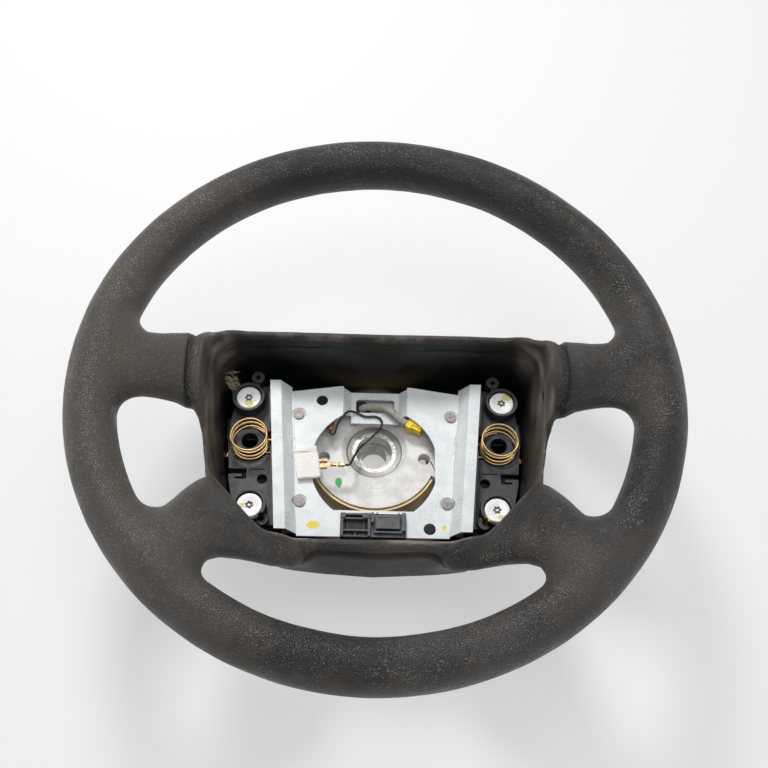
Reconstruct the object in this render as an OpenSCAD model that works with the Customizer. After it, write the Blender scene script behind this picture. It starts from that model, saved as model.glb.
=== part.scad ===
// Car steering wheel with its airbag taken out: foam rim and bowl, cast skeleton and airbag bracket.
// Millimetres, +Z towards the driver, +Y to twelve o'clock, origin on the shaft's axis at the hub's back.

/* [Rim] */
// Outside diameter of the rim
rim_d = 380; // [370:1:390]
// Width of the rim's section, along the radius
grip_w = 31; // [28:0.5:34]
// Height of the rim's section, along the shaft
grip_h = 36; // [33:0.5:39]
// Height of the rim's middle plane above the hub's back
rim_z = 132; // [126:1:138]
// Diameter of the cast core inside the rim
core_d = 12; // [9:0.5:14]

/* [Spokes] */
// Width of a spoke at its waist
spoke_w = 49; // [40:1:54]
// Thickness of a spoke at its waist
spoke_t = 28; // [24:0.5:32]
// Extra half width of a spoke where it meets the rim and the bowl
spoke_flare = 8.5; // [4:0.5:12]
// Distance of the upper spokes' centre line above the shaft's axis
upper_y = 14; // [8:1:18]
// Angle of the lower spokes below the horizontal
lower_angle = 42.5; // [38:0.5:47]

/* [Hub bowl] */
// Width of the bowl's mouth
mouth_w = 226; // [222:1:230]
// Width of the bowl's inside at its floor
floor_w = 208; // [206:1:212]
// Height of the bowl's lip above the hub's back
lip_z = 88; // [80:1:94]
// Height of the bowl's back face above the hub's back
back_z = 14; // [8:1:16]
// Thickness of the bowl's floor
floor_t = 9; // [5:0.5:11]

/* [Hub] */
// Diameter of the hub plate
plate_d = 88.6; // [84:0.2:92]
// Height of the hub plate's face above the hub's back
plate_z = 35; // [33:0.5:36]
// Thickness of the hub plate
plate_t = 8; // [6:0.5:9]
// Diameter of the bolt's bore in the hub plate
bolt_bore_d = 25; // [22:0.5:28]
// Diameter of the sunk seat round the bolt's bore
bolt_seat_d = 38; // [34:0.5:40]
// Depth of the sunk seat
bolt_seat_t = 4.5; // [2:0.5:6]
// Diameter of the splined bush's bore for the steering shaft
shaft_d = 18; // [15:0.5:20]
// Outside diameter of the splined bush
bush_d = 24; // [22:0.5:26]
// Diameter of the two free holes in the hub plate
hub_hole_d = 8.2; // [6:0.2:9]
// Wall thickness of the steel pot round the hub
pot_t = 1.6; // [1:0.1:2.5]

/* [Bracket] */
// Thickness of the bracket's sheet
sheet_t = 1.5; // [1:0.1:2]
// Height of the bracket's main face above the hub's back
bracket_z = 48; // [47:0.5:50]
// Rise of the bracket's side strips over its main face
strip_rise = 9; // [7:0.5:11]
// Depth of the recess at the bracket's top edge
recess_t = 7; // [5:0.5:8]
// Radius of the bracket's large window
window_r = 43.5; // [41:0.5:45]
// Width of the slot that the airbag's lead comes through
slot_w = 27; // [22:1:29]
// Diameter of the rivets
rivet_d = 4.6; // [4:0.2:6]

/* [Carriers] */
// Thickness of a carrier's plate
carrier_t = 4; // [3:0.5:5]
// Inside diameter of a screw cup
cup_d = 18.6; // [18:0.2:20]
// Wall thickness of a screw cup
cup_t = 1.9; // [1.4:0.1:2.2]
// Height of a screw cup over the carrier's plate
cup_h = 10; // [8:0.5:12]
// Diameter of the screw heads
screw_head_d = 17.2; // [15:0.2:17.6]
// Diameter of the screws' shoulder
screw_shank_d = 8; // [6:0.5:9]
// Diameter of the airbag pin's hole
pin_d = 11.8; // [10:0.2:13]
// Outside diameter of the horn springs
spring_d = 26; // [24:0.5:27]
// Diameter of the springs' wire
spring_wire_d = 1.3; // [1:0.1:1.6]
// Free length of a horn spring
spring_h = 17; // [14:0.5:20]
// Diameter of the pin clips' wire
clip_wire_d = 1.8; // [1.4:0.1:2]

/* [Hidden] */

// Clearance between pieces that seat on each other, and between a press-fitted pair
seat_gap = 0.3;
fit_gap = 0.05;

// Rim and spokes
rim_r = rim_d / 2 - grip_w / 2;
rim_sides = 16;
spoke_steps = 4;
spoke_root_r = mouth_w / 2 - 6;

// Skeleton
wing_z = plate_z;
wing_t = 5.7;
arm_t = 4;
arm_w = 16;
arm_wall_r = floor_w / 2 + 2.4;

// Hub
boss_d = bush_d + 16;
boss_z = 8;
bush_top_z = plate_z - bolt_seat_t - 8.5;
hub_hole_at = [35, -6.6];
pot_top_z = plate_z - 1.5;
pot_r = plate_d / 2 + seat_gap + pot_t;
pot_foot_r = pot_r + 2;
pot_notch_y = [-21, 22];
grommet_at = [-9.5, plate_d / 2 - 13.3];
grommet_d = 11;

// Bracket: bend lines lean in towards six o'clock
bracket_top_y = 42;
bracket_bottom_y = -70;
bend_angle = 4.9;
bend_y = -14;
bend_foot_x = 55.2;
bend_top_x = 61.6;
strip_end_x = 69.2;
window_y = -17;
window_half_w = 41.5;
window_bottom_y = -51.3;
bridge_y = 17.2;
bridge_w = 8.8;
recess_half_w = 17;
recess_slope_w = 5.5;
slot_h = 10.5;
plug_bay_y = window_bottom_y - 2.2;
plug_bay_half_w = 21.8;
rivet_upper = [53.2, 19.9];
rivet_lower = [49.4, -45.7];
pillar_d = 12;
dimple_d = 10;
dimple_t = 0.8;

// Carriers, given for the right-hand side
carrier_z = wing_z + 7;
carrier_low_z = carrier_z - carrier_t;
cup_top_z = carrier_z + cup_h;
cup_floor_z = cup_top_z - 4.7;
screw_upper = [89, 31.1];
screw_lower = [82.5, -49.8];
ear_upper = [84.1, 50];
ear_lower = [74.2, -57.5];
ear_d = 9.4;
ear_hole_d = 3.2;
ear_h = 4;
locator = [76.2, -27.4];
locator_d = 6.8;
pin_at = [86.3, 0];
pocket_d = spring_d + 3;
pocket_floor_t = 1.4;
pocket_z = carrier_low_z + pocket_floor_t;
bush_wall_d = 18.4;
collar_z = pocket_z + 5.6;
screw_thread_d = 6;
screw_boss_d = 13;
screw_boss_z = back_z + floor_t + 1;

// Springs and clips
coil_r = (spring_d - spring_wire_d) / 2;
coil_turns = 4.25;
coil_steps = 16;
spring_low_z = pocket_z + spring_wire_d / 2 + 0.1;
clip_z = wing_z + clip_wire_d / 2 + 0.6;
clip_half_w = 4.9;
clip_bend_x = pin_at[0] - 12.3;
clip_end_x = pin_at[0] + 12;
clip_tail_x = pin_at[0] + 15.6;

// Horn wire: 1.6 mm, along the bridge and down to its terminal
wire_d = 1.6;
wire_route = [[-31, 12, 43.6], [-31, 9.8, 43.6], [-30.6, 7.8, 43.5], [-29.2, 6.8, 43.5], [-27.9, 7.8, 43.9],
    [-27.2, 10.2, 44.7], [-26, 13.8, 46.2], [-23, 18, 48.4], [-20, 22.3, 47.6], [-17, 25, 44.4],
    [-13, 24.8, 42.6],
    [-8, 22.6, 42.2], [-4, 22.2, 42.2], [0, 22.4, 42.2], [3.4, 21, 42.2], [5, 18, 42], [4.4, 14.6, 41],
    [2, 11.6, 39.6], [-2, 8, 38.4], [-6, 4, 38], [-9.6, 0.2, 38.6], [-12, -4.6, 40.6], [-13.6, -9, 43.6],
    [-14.8, -13.4, 46.8], [-15.8, -17, 49.1], [-17.4, -19, 49.8], [-19.9, -19, 49.8]];

// Airbag lead in its sleeve: 5.2 mm, up through the slot and over the bridge to its plug
sleeve_d = 5.2;
sleeve_route = [[-9.5, 31, 27.3], [-9.5, 31, 31], [-9.5, 31, 35], [-8.8, 30.8, 38], [-6.4, 30.5, 40.4],
    [-3, 30.2, 41.8], [1, 29.9, 42.6], [5, 29, 43.4], [9, 27, 44.4], [13, 23.6, 45.3], [16.6, 20.4, 45.2],
    [19.2, 18.2, 44.3], [21.2, 17.2, 43.4], [23, 17.2, 43.4]];

// Wrap, terminal and contact on the horn wire, and the plug on the lead
wrap_at = [-45.2, -18.5];
wrap_size = [16.6, 24, 3];
wrap_angle = 10;
terminal_x = [-45, -29];
terminal_y = -19;
terminal_z = 49.8;
terminal_w = 7;
terminal_t = 1.6;
crimp_d = 3.2;
contact_at = [-31, 8.5];
contact_z = 43;
contact_crimp_d = 3.6;
plug_collar = [[23, 9], [29.5, 21]];
plug_body = [[29.5, 10], [37, 19]];
plug_low_z = 38;
plug_high_z = 46;

foam_colour = [0.28, 0.26, 0.24];
cast_colour = [0.86, 0.87, 0.86];
passivated_colour = [0.84, 0.69, 0.43];
bracket_colour = [0.80, 0.83, 0.84];
carrier_colour = [0.24, 0.24, 0.26];
zinc_colour = [0.90, 0.91, 0.92];
spring_colour = [0.88, 0.74, 0.47];
black_colour = [0.10, 0.10, 0.11];

// Point on a spoke's centre line, from the bowl (t = 0) to the rim (t = 1): radius and height
function spoke_point(t) = [spoke_root_r + (rim_r - 3.5 - spoke_root_r) * t,
    lip_z + (rim_z - 1 - lip_z) * (1 - pow(1 - t, 2.2))];

// Share of the flare at a place along the spoke
function flare(t) = pow(abs(2 * t - 1), 3);

// Outline of the bowl: half width, far edge, near edge and how far its lower corners are cut back
function tub(half_w, far_y, near_y, corner) = let(side = [
    [half_w - corner - 26, near_y],
    [half_w - corner, -61],
    [half_w - 6, -42],
    [half_w, -2],
    [half_w, far_y - 12],
    [half_w - 14, far_y]])
    concat(side, [for (i = [len(side) - 1:-1:0]) [-side[i][0], side[i][1]]]);

// Unit vector of v
function unit(v) = v / norm(v);

// Direction of an open line of points at point i
function heading(p, i) = unit(p[min(i + 1, len(p) - 1)] - p[max(i - 1, 0)]);

// Outline of a flat strip of thickness t along an open line of points
function strip(p, t) = concat(
    [for (i = [0:len(p) - 1]) p[i] + t / 2 * [-heading(p, i)[1], heading(p, i)[0]]],
    [for (i = [len(p) - 1:-1:0]) p[i] - t / 2 * [-heading(p, i)[1], heading(p, i)[0]]]);

// Ring of points round p[i], square to the line
function ring(p, i, r, sides) = let(
    d = heading(p, i),
    a = unit(cross(d, abs(d[2]) < 0.9 ? [0, 0, 1] : [0, 1, 0])),
    b = cross(d, a))
    [for (k = [0:sides - 1]) p[i] + r * (cos(k * 360 / sides) * a + sin(k * 360 / sides) * b)];

// Round tube along an open line of points
module tube(p, d, sides) {
    n = len(p);
    points = [for (i = [0:n - 1]) each ring(p, i, d / 2, sides)];
    walls = [for (i = [0:n - 2]) for (k = [0:sides - 1])
        let(a = i * sides + k, b = i * sides + (k + 1) % sides)
        each [[a, a + sides, b], [b, a + sides, b + sides]]];
    polyhedron(points, concat(walls, [[for (k = [0:sides - 1]) k]],
        [[for (k = [sides - 1:-1:0]) (n - 1) * sides + k]]), convexity = 6);
}

// Places its children on the four spokes
module on_spokes() {
    for (side = [0, 1]) mirror([side, 0, 0]) {
        translate([0, upper_y, 0]) children();
        rotate([0, 0, -lower_angle]) children();
    }
}

// Places its children at points on both sides of the wheel
module both_sides(points) {
    for (side = [0, 1], p = points) mirror([side, 0, 0]) translate([p[0], p[1], 0]) children();
}

// One slab of the bowl
module slab(outline, z, h, r) {
    translate([0, 0, z]) linear_extrude(h) hull() for (p = outline)
        translate([p[0] - sign(p[0]) * r, p[1] - sign(p[1]) * r]) circle(r = r, $fn = 20);
}

// Section of a spoke at place t along it
module spoke_section(t) {
    translate([spoke_point(t)[0], 0, spoke_point(t)[1]])
        scale([8, spoke_w / 2 + spoke_flare * flare(t), spoke_t / 2 + 1.5 * flare(t)])
        sphere(r = 1, $fn = 20);
}

module foam_rim() {
    rotate_extrude($fn = 96) polygon([for (k = [0:rim_sides - 1])
        [rim_r + grip_w / 2 * cos(k * 360 / rim_sides), rim_z + grip_h / 2 * sin(k * 360 / rim_sides)]]);
}

module foam_spoke() {
    for (i = [0:spoke_steps - 1]) hull() {
        spoke_section(i / spoke_steps);
        spoke_section((i + 1) / spoke_steps);
    }
    hull() {
        spoke_section(0);
        spoke_section(0.1);
        translate([arm_wall_r + 3.6, 0, lip_z - 36]) scale([7.5, arm_w / 2 + 6, 8]) sphere(r = 1, $fn = 16);
    }
}

module foam_bowl() {
    hull() {
        slab(tub(floor_w / 2 + 3, 58, -82, 4), back_z, 1, 10);
        slab(tub(mouth_w / 2 + 2, 64, -98, 16), lip_z - 30, 1, 10);
        slab(tub(mouth_w / 2 + 3, 66, -92, 16), lip_z - 5, 1, 10);
        slab(tub(mouth_w / 2 + 1, 64, -90, 16), lip_z - 1, 1, 10);
    }
}

module foam_well() {
    floor_z = back_z + floor_t;
    hull() {
        slab(tub(floor_w / 2, 54, -73, 11), floor_z, 1, 6);
        slab(tub(floor_w / 2 + 1.5, 55, -74, 11), floor_z + 24, 1, 6);
        slab(tub(mouth_w / 2, 59.5, -84, 19), lip_z + 16, 1, 6);
    }
    slab(tub(mouth_w / 2, 59.5, -84, 19), lip_z + 16, 60, 6);
}

module rim_core(gap, sides) {
    rotate_extrude($fn = 96) translate([rim_r, rim_z]) circle(d = core_d + 2 * gap, $fn = sides);
}

// Cast arm from the wing under a carrier, up inside the bowl's wall and out along a spoke
module cast_arm(gap) {
    wing_mid_z = wing_z - wing_t / 2;
    line = concat(
        [[arm_wall_r - 10, wing_mid_z], [arm_wall_r - 2, wing_mid_z + 0.4], [arm_wall_r + 1.4, wing_mid_z + 5],
            [arm_wall_r + 5, lip_z - 30], [arm_wall_r + 7.8, lip_z - 3]],
        [for (t = [0.25, 0.5, 0.75]) spoke_point(t)],
        [[rim_r - 3, rim_z]]);
    rotate([90, 0, 0]) translate([0, 0, -arm_w / 2 - gap]) linear_extrude(arm_w + 2 * gap)
        polygon(strip(line, arm_t + 2 * gap));
}

// Outline of one cast wing, right-hand side
module wing_outline() {
    root_x = plate_d / 2 - 6.3;
    polygon([[root_x, -18], [root_x, 18], [48, 28], [66, 34], [80, 42], [97, 38], [102, 26], [102.6, 2],
        [98.5, -20], [95, -42], [88, -58], [76, -66], [58, -62], [46, -56], [44, -46], [root_x + 7, -22]]);
}

module foam_cover() {
    color(foam_colour) difference() {
        union() {
            foam_rim();
            on_spokes() foam_spoke();
            foam_bowl();
        }
        foam_well();
        rim_core(0.6, 12);
        on_spokes() cast_arm(0.4);
        translate([0, 0, back_z - 1]) cylinder(r = pot_foot_r + 6, h = floor_t + 3, $fn = 64);
    }
}

module cast_wings() {
    for (side = [0, 1]) mirror([side, 0, 0]) translate([0, 0, wing_z - wing_t])
        linear_extrude(wing_t) wing_outline();
}

// The part of the casting that the foam is moulded round: the ring and the four arms, up to the wings
module rim_skeleton() {
    color(cast_colour) difference() {
        union() {
            rim_core(0, 24);
            on_spokes() cast_arm(0);
        }
        cast_wings();
    }
}

// The part of the casting that lies bare in the bowl: hub, wings and screw bosses
module armature() {
    color(cast_colour) difference() {
        union() {
            rotate_extrude($fn = 96) polygon([[bolt_bore_d / 2, bush_top_z],
                [bolt_bore_d / 2, plate_z - bolt_seat_t], [bolt_seat_d / 2, plate_z - bolt_seat_t],
                [bolt_seat_d / 2 + 4, plate_z], [plate_d / 2, plate_z],
                [plate_d / 2, plate_z - plate_t], [boss_d / 2, plate_z - plate_t], [boss_d / 2, boss_z],
                [bush_d / 2 + fit_gap, boss_z], [bush_d / 2 + fit_gap, bush_top_z]]);
            cast_wings();
            both_sides([screw_upper, screw_lower]) translate([0, 0, screw_boss_z])
                cylinder(d = screw_boss_d, h = wing_z - wing_t - screw_boss_z + 1, $fn = 32);
        }
        both_sides([hub_hole_at]) translate([0, 0, plate_z - plate_t - 1])
            cylinder(d = hub_hole_d, h = plate_t + 2, $fn = 32);
        translate([grommet_at[0], grommet_at[1], plate_z - plate_t - 1])
            cylinder(d = grommet_d + 2 * fit_gap, h = plate_t + 2, $fn = 32);
        both_sides([pin_at]) translate([0, 0, wing_z - wing_t - 1]) cylinder(r = 9, h = wing_t + 2, $fn = 32);
        both_sides([screw_upper, screw_lower]) translate([0, 0, screw_boss_z - 1])
            cylinder(d = screw_thread_d + 2 * fit_gap, h = wing_z - screw_boss_z + 2, $fn = 32);
        both_sides([rivet_upper, rivet_lower]) translate([0, 0, wing_z - wing_t - 1])
            cylinder(d = rivet_d + 2 * fit_gap, h = wing_t + 2, $fn = 32);
    }
}

// Four pillars of the casting, standing on its wings, that carry the bracket at its rivets
module bracket_pillars() {
    pillar_h = bracket_z - sheet_t - seat_gap - wing_z;
    color(cast_colour) both_sides([rivet_upper, rivet_lower]) translate([0, 0, wing_z]) difference() {
        cylinder(d = pillar_d, h = pillar_h, $fn = 32);
        translate([0, 0, -1]) cylinder(d = rivet_d + 2 * fit_gap, h = pillar_h + 2, $fn = 32);
    }
}

module hub_pot() {
    flange_z = plate_z - plate_t - seat_gap;
    color(passivated_colour) difference() {
        rotate_extrude($fn = 96) polygon([[pot_foot_r - 9, 0], [pot_foot_r, 0], [pot_foot_r, 3],
            [pot_r, pot_top_z],
            [pot_r - pot_t, pot_top_z], [pot_r - pot_t, flange_z], [boss_d / 2 + 6, flange_z],
            [boss_d / 2 + 6, flange_z - pot_t], [pot_r - pot_t, flange_z - pot_t], [pot_foot_r - pot_t, 3],
            [pot_foot_r - pot_t, pot_t], [pot_foot_r - 9, pot_t]]);
        translate([-80, pot_notch_y[0], wing_z - wing_t - seat_gap])
            cube([160, pot_notch_y[1] - pot_notch_y[0], 20]);
        both_sides([hub_hole_at]) translate([0, 0, flange_z - 4]) cylinder(d = hub_hole_d, h = 6, $fn = 32);
        translate([grommet_at[0], grommet_at[1], flange_z - 4]) cylinder(d = grommet_d + 3, h = 6, $fn = 32);
    }
}

module hub_bush() {
    color(zinc_colour) translate([0, 0, boss_z]) difference() {
        cylinder(d = bush_d, h = bush_top_z - boss_z, $fn = 64);
        translate([0, 0, -1]) cylinder(d = shaft_d, h = plate_z, $fn = 64);
    }
}

// One side of the bracket: sloped bend and raised strip, leaning in towards six o'clock
module bracket_side() {
    intersection() {
        translate([0, bend_y, 0]) rotate([0, 0, -bend_angle]) rotate([90, 0, 0])
            translate([0, 0, -80]) linear_extrude(160) polygon([
                [bend_foot_x - 1, bracket_z - sheet_t],
                [bend_foot_x + 0.5, bracket_z - sheet_t],
                [bend_top_x + 0.5, bracket_z + strip_rise - sheet_t],
                [strip_end_x, bracket_z + strip_rise - sheet_t],
                [strip_end_x, bracket_z + strip_rise],
                [bend_top_x, bracket_z + strip_rise],
                [bend_foot_x, bracket_z],
                [bend_foot_x - 1, bracket_z]]);
        translate([30, bracket_bottom_y + 1.5, 0]) cube([60, bracket_top_y - bracket_bottom_y - 1.5, 80]);
    }
}

// Pressed recess at the top edge, with the slot for the lead and the bridge below it
module bracket_recess() {
    low_z = bracket_z - recess_t;
    w = recess_half_w;
    s = w + recess_slope_w;
    translate([0, bracket_top_y, 0]) rotate([90, 0, 0]) linear_extrude(bracket_top_y - bridge_y) polygon([
        [-s - 0.5, bracket_z], [-s - 0.5, bracket_z - sheet_t], [-s + 0.7, bracket_z - sheet_t],
        [-w + 0.7, low_z - sheet_t], [w - 0.7, low_z - sheet_t], [s - 0.7, bracket_z - sheet_t],
        [s + 0.5, bracket_z - sheet_t], [s + 0.5, bracket_z], [s, bracket_z], [w, low_z], [-w, low_z],
        [-s, bracket_z]]);
}

module bracket_plate() {
    lean = tan(bend_angle);
    s = recess_half_w + recess_slope_w;
    color(bracket_colour) difference() {
        union() {
            difference() {
                translate([0, 0, bracket_z - sheet_t]) linear_extrude(sheet_t) polygon([
                    [-bend_foot_x - (bracket_top_y - 4 - bend_y) * lean, bracket_top_y - 4],
                    [-25, bracket_top_y + 1.3], [25, bracket_top_y + 1.3],
                    [bend_foot_x + (bracket_top_y - 4 - bend_y) * lean, bracket_top_y - 4],
                    [bend_foot_x + (bracket_bottom_y - bend_y) * lean, bracket_bottom_y],
                    [-bend_foot_x - (bracket_bottom_y - bend_y) * lean, bracket_bottom_y]]);
                translate([-s, window_y, 0]) cube([2 * s, 80, 80]);
            }
            bracket_side();
            mirror([1, 0, 0]) bracket_side();
            bracket_recess();
        }
        intersection() {
            translate([0, window_y, 0]) cylinder(r = window_r, h = 80, $fn = 96);
            translate([-window_half_w, window_bottom_y, 0])
                cube([2 * window_half_w, 80, 80]);
            union() {
                translate([-60, -60, 0]) cube([120, 60 + bridge_y, 80]);
                for (side = [0, 1]) mirror([side, 0, 0])
                    translate([recess_half_w, -60, 0]) cube([60, 120, 80]);
            }
        }
        translate([0, bridge_y + bridge_w + slot_h / 2, 0]) {
            translate([-slot_w / 2 + 2, -slot_h / 2, 0]) cube([slot_w - 4, slot_h, 80]);
            translate([-slot_w / 2, -slot_h / 2 + 2, 0]) cube([slot_w, slot_h - 4, 80]);
            for (x = [-1, 1], y = [-1, 1]) translate([x * (slot_w / 2 - 2), y * (slot_h / 2 - 2), 0])
                cylinder(r = 2, h = 80, $fn = 24);
        }
        translate([-plug_bay_half_w, bracket_bottom_y - 10, 0])
            cube([2 * plug_bay_half_w, plug_bay_y - bracket_bottom_y + 10, 80]);
        translate([-37.4, 31.5, 0]) cylinder(d = 8, h = 80, $fn = 32);
        translate([37.4, -63.5, 0]) cylinder(d = 8, h = 80, $fn = 32);
        both_sides([rivet_upper, rivet_lower]) {
            cylinder(d = rivet_d + 0.6, h = 80, $fn = 32);
            translate([0, 0, bracket_z - dimple_t]) cylinder(d = dimple_d, h = 5, $fn = 32);
        }
    }
}

module bracket_rivets() {
    color([0.76, 0.52, 0.32]) both_sides([rivet_upper, rivet_lower]) {
        translate([0, 0, wing_z + 1]) cylinder(d = rivet_d, h = bracket_z - dimple_t - wing_z, $fn = 32);
        translate([0, 0, bracket_z - dimple_t + 0.1]) cylinder(d = rivet_d + 2.2, h = 0.9, $fn = 32);
    }
}

// Right-hand carrier: plate, screw cups, ears, spring pocket and raised rail under the bracket's strip
module carrier() {
    rail_z = bracket_z + strip_rise - sheet_t - seat_gap;
    outline = [[67, 44], [79, 45], [90, 36], [99, 28], [101.2, 16], [101.8, 2], [99.6, -19], [99.2, -28],
        [96, -42], [88, -56], [74, -61], [62, -60]];
    difference() {
        union() {
            translate([0, 0, carrier_low_z]) linear_extrude(carrier_t) polygon(outline);
            translate([0, bend_y, 0]) rotate([0, 0, -bend_angle])
                translate([strip_end_x - 4, -46, carrier_low_z]) cube([5.2, 100, rail_z - carrier_low_z]);
            for (p = [screw_upper, screw_lower]) translate([p[0], p[1], wing_z + seat_gap])
                cylinder(d = cup_d + 2 * cup_t, h = cup_top_z - wing_z - seat_gap, $fn = 48);
            for (p = [ear_upper, ear_lower]) translate([p[0], p[1], carrier_low_z])
                cylinder(d = ear_d, h = carrier_t + ear_h, $fn = 32);
            for (pair = [[ear_upper, screw_upper], [ear_lower, screw_lower]]) translate([0, 0, carrier_low_z])
                linear_extrude(carrier_t + ear_h - 1) polygon(strip(pair, 5));
        }
        for (p = [screw_upper, screw_lower]) translate([p[0], p[1], 0]) {
            translate([0, 0, cup_floor_z]) cylinder(d = cup_d, h = 40, $fn = 48);
            cylinder(d = screw_shank_d + 0.6, h = 80, $fn = 32);
        }
        for (p = [ear_upper, ear_lower]) translate([p[0], p[1], 0])
            cylinder(d = ear_hole_d, h = 80, $fn = 24);
        translate([locator[0], locator[1], 0]) cylinder(d = locator_d, h = 80, $fn = 32);
        translate([pin_at[0], pin_at[1], 0]) {
            translate([0, 0, pocket_z]) cylinder(d = pocket_d, h = 40, $fn = 64);
            cylinder(d = bush_wall_d + 0.4, h = 80, $fn = 64);
        }
        translate([60, -9, 0]) cube([16.4, 18, 80]);
        translate([89.8, -23.8, 0]) cube([20, 3.9, 80]);
        translate([87.2, -27.4, 0]) cube([2.8, 7.5, 80]);
        translate([87.2, -27.4, 0]) cube([7.8, 1.4, 80]);
        translate([75, -20.6, carrier_z - 0.8]) cube([10, 0.7, 4]);
    }
}

module right_carrier() {
    color(carrier_colour) carrier();
}

module left_carrier() {
    color(carrier_colour) mirror([1, 0, 0]) carrier();
}

// Shoulder screw with a six-sided recess and a centre pin
module screw() {
    head_z = cup_floor_z + 0.2;
    head_h = 2.8;
    translate([0, 0, screw_boss_z]) cylinder(d = screw_thread_d, h = wing_z - screw_boss_z + 1, $fn = 32);
    translate([0, 0, wing_z + 0.2]) cylinder(d = screw_shank_d, h = head_z - wing_z, $fn = 32);
    difference() {
        translate([0, 0, head_z]) cylinder(d = screw_head_d, h = head_h, $fn = 48);
        translate([0, 0, head_z + head_h - 1.6]) difference() {
            cylinder(d = 6, h = 4, $fn = 6);
            cylinder(d = 1.8, h = 4, $fn = 16);
        }
    }
}

module carrier_screws() {
    color(zinc_colour) both_sides([screw_upper, screw_lower]) screw();
}

// Coil spring with its end turns closed up
module horn_spring() {
    steps = coil_turns * coil_steps;
    rise = spring_h - spring_wire_d;
    tube([for (i = [0:steps])
        let(a = 360 * i / coil_steps, t = i / steps, u = min(max((t - 0.2) / 0.62, 0), 1))
        [pin_at[0] + coil_r * cos(a + 90), pin_at[1] + coil_r * sin(a + 90),
            spring_low_z + spring_wire_d * 1.1 * min(t / 0.2, 1)
            + (rise - 2.2 * spring_wire_d) * u + spring_wire_d * 1.1 * max((t - 0.82) / 0.18, 0)]],
        spring_wire_d, 6);
}

module right_horn_spring() {
    color(spring_colour) horn_spring();
}

module left_horn_spring() {
    color(spring_colour) mirror([1, 0, 0]) horn_spring();
}

module pin_bush() {
    translate([pin_at[0], pin_at[1], 0]) difference() {
        union() {
            translate([0, 0, carrier_low_z + 0.1])
                cylinder(d = bush_wall_d, h = collar_z - carrier_low_z, $fn = 64);
            translate([0, 0, pocket_z + 0.1]) cylinder(d = bush_wall_d + 3.4, h = 1.2, $fn = 64);
        }
        cylinder(d = pin_d, h = 80, $fn = 64);
    }
}

module right_pin_bush() {
    color(black_colour) pin_bush();
}

module left_pin_bush() {
    color(black_colour) mirror([1, 0, 0]) pin_bush();
}

// Hairpin of spring wire whose legs lie beside the airbag's pin, with a bent tail on one leg
module pin_clip() {
    tail_r = 2.5;
    translate([0, pin_at[1], clip_z]) {
        translate([clip_bend_x, 0, 0]) rotate([0, 0, 90]) rotate_extrude(angle = 180, $fn = 48)
            translate([clip_half_w, 0]) circle(d = clip_wire_d, $fn = 24);
        translate([clip_bend_x, clip_half_w, 0]) rotate([0, 90, 0])
            cylinder(d = clip_wire_d, h = clip_end_x - clip_bend_x, $fn = 24);
        translate([clip_bend_x, -clip_half_w, 0]) rotate([0, 90, 0])
            cylinder(d = clip_wire_d, h = clip_tail_x - tail_r - clip_bend_x, $fn = 24);
        translate([clip_tail_x - tail_r, -clip_half_w - tail_r, 0]) rotate_extrude(angle = 90, $fn = 48)
            translate([tail_r, 0]) circle(d = clip_wire_d, $fn = 24);
        translate([clip_tail_x, -clip_half_w - tail_r, 0]) rotate([90, 0, 0])
            cylinder(d = clip_wire_d, h = 1.6, $fn = 24);
    }
}

module right_pin_clip() {
    color(spring_colour) pin_clip();
}

module left_pin_clip() {
    color(spring_colour) mirror([1, 0, 0]) pin_clip();
}

// Empty socket housing with an open cavity and a latch wall behind it
module left_connector() {
    low = [-plug_bay_half_w + seat_gap, bracket_bottom_y];
    color(black_colour) difference() {
        translate([low[0], low[1], bracket_z - 7]) cube([19.6, plug_bay_y - seat_gap - low[1], 10]);
        translate([low[0] + 3, low[1] + 5, bracket_z - 5]) cube([13.6, 7, 20]);
        translate([low[0] + 2.2, low[1] + 12.6, bracket_z + 1]) cube([15.2, 10, 20]);
        translate([low[0] + 1.5, low[1] - 1, bracket_z + 1]) cube([16.6, 4.4, 20]);
    }
}

// Closed housing with a raised body, two end posts and a lower front strip
module right_connector() {
    low = [-plug_bay_half_w + seat_gap + 19.9, bracket_bottom_y];
    w = plug_bay_half_w - seat_gap - low[0];
    depth = plug_bay_y - seat_gap - low[1];
    color(black_colour) {
        translate([low[0], low[1] + 0.6, bracket_z - 7]) cube([w, depth - 0.6, 8]);
        translate([low[0] + 3.4, low[1] + 4, bracket_z]) cube([w - 6.8, depth - 5.6, 4]);
        for (x = [low[0], low[0] + w - 2.6]) translate([x, low[1] + 3, bracket_z])
            cube([2.6, depth - 3, 4.4]);
    }
}

// Copper strip under the bracket with the crimp barrel that grips the horn wire
module horn_contact() {
    top_z = bracket_z - sheet_t - 0.1;
    color([0.74, 0.46, 0.28]) difference() {
        union() {
            translate([contact_at[0] - 10.5, contact_at[1] + 3, top_z - 0.8]) cube([8, 6, 0.8]);
            translate([contact_at[0] - 4, contact_at[1] + 3, contact_z - 1])
                cube([1.5, 6, top_z - contact_z + 1]);
            translate([contact_at[0] - 3.5, contact_at[1] + 3, contact_z - 1]) cube([6, 6, 1]);
            translate([contact_at[0], contact_at[1] + 1.6, contact_z + 0.6]) rotate([-90, 0, 0])
                cylinder(d = contact_crimp_d, h = 7, $fn = 24);
        }
        translate([contact_at[0], contact_at[1] - 5, contact_z + 0.6]) rotate([-90, 0, 0])
            cylinder(d = wire_d + 0.3, h = 13, $fn = 24);
    }
}

module horn_wire() {
    color(black_colour) tube(wire_route, wire_d, 8);
}

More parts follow.
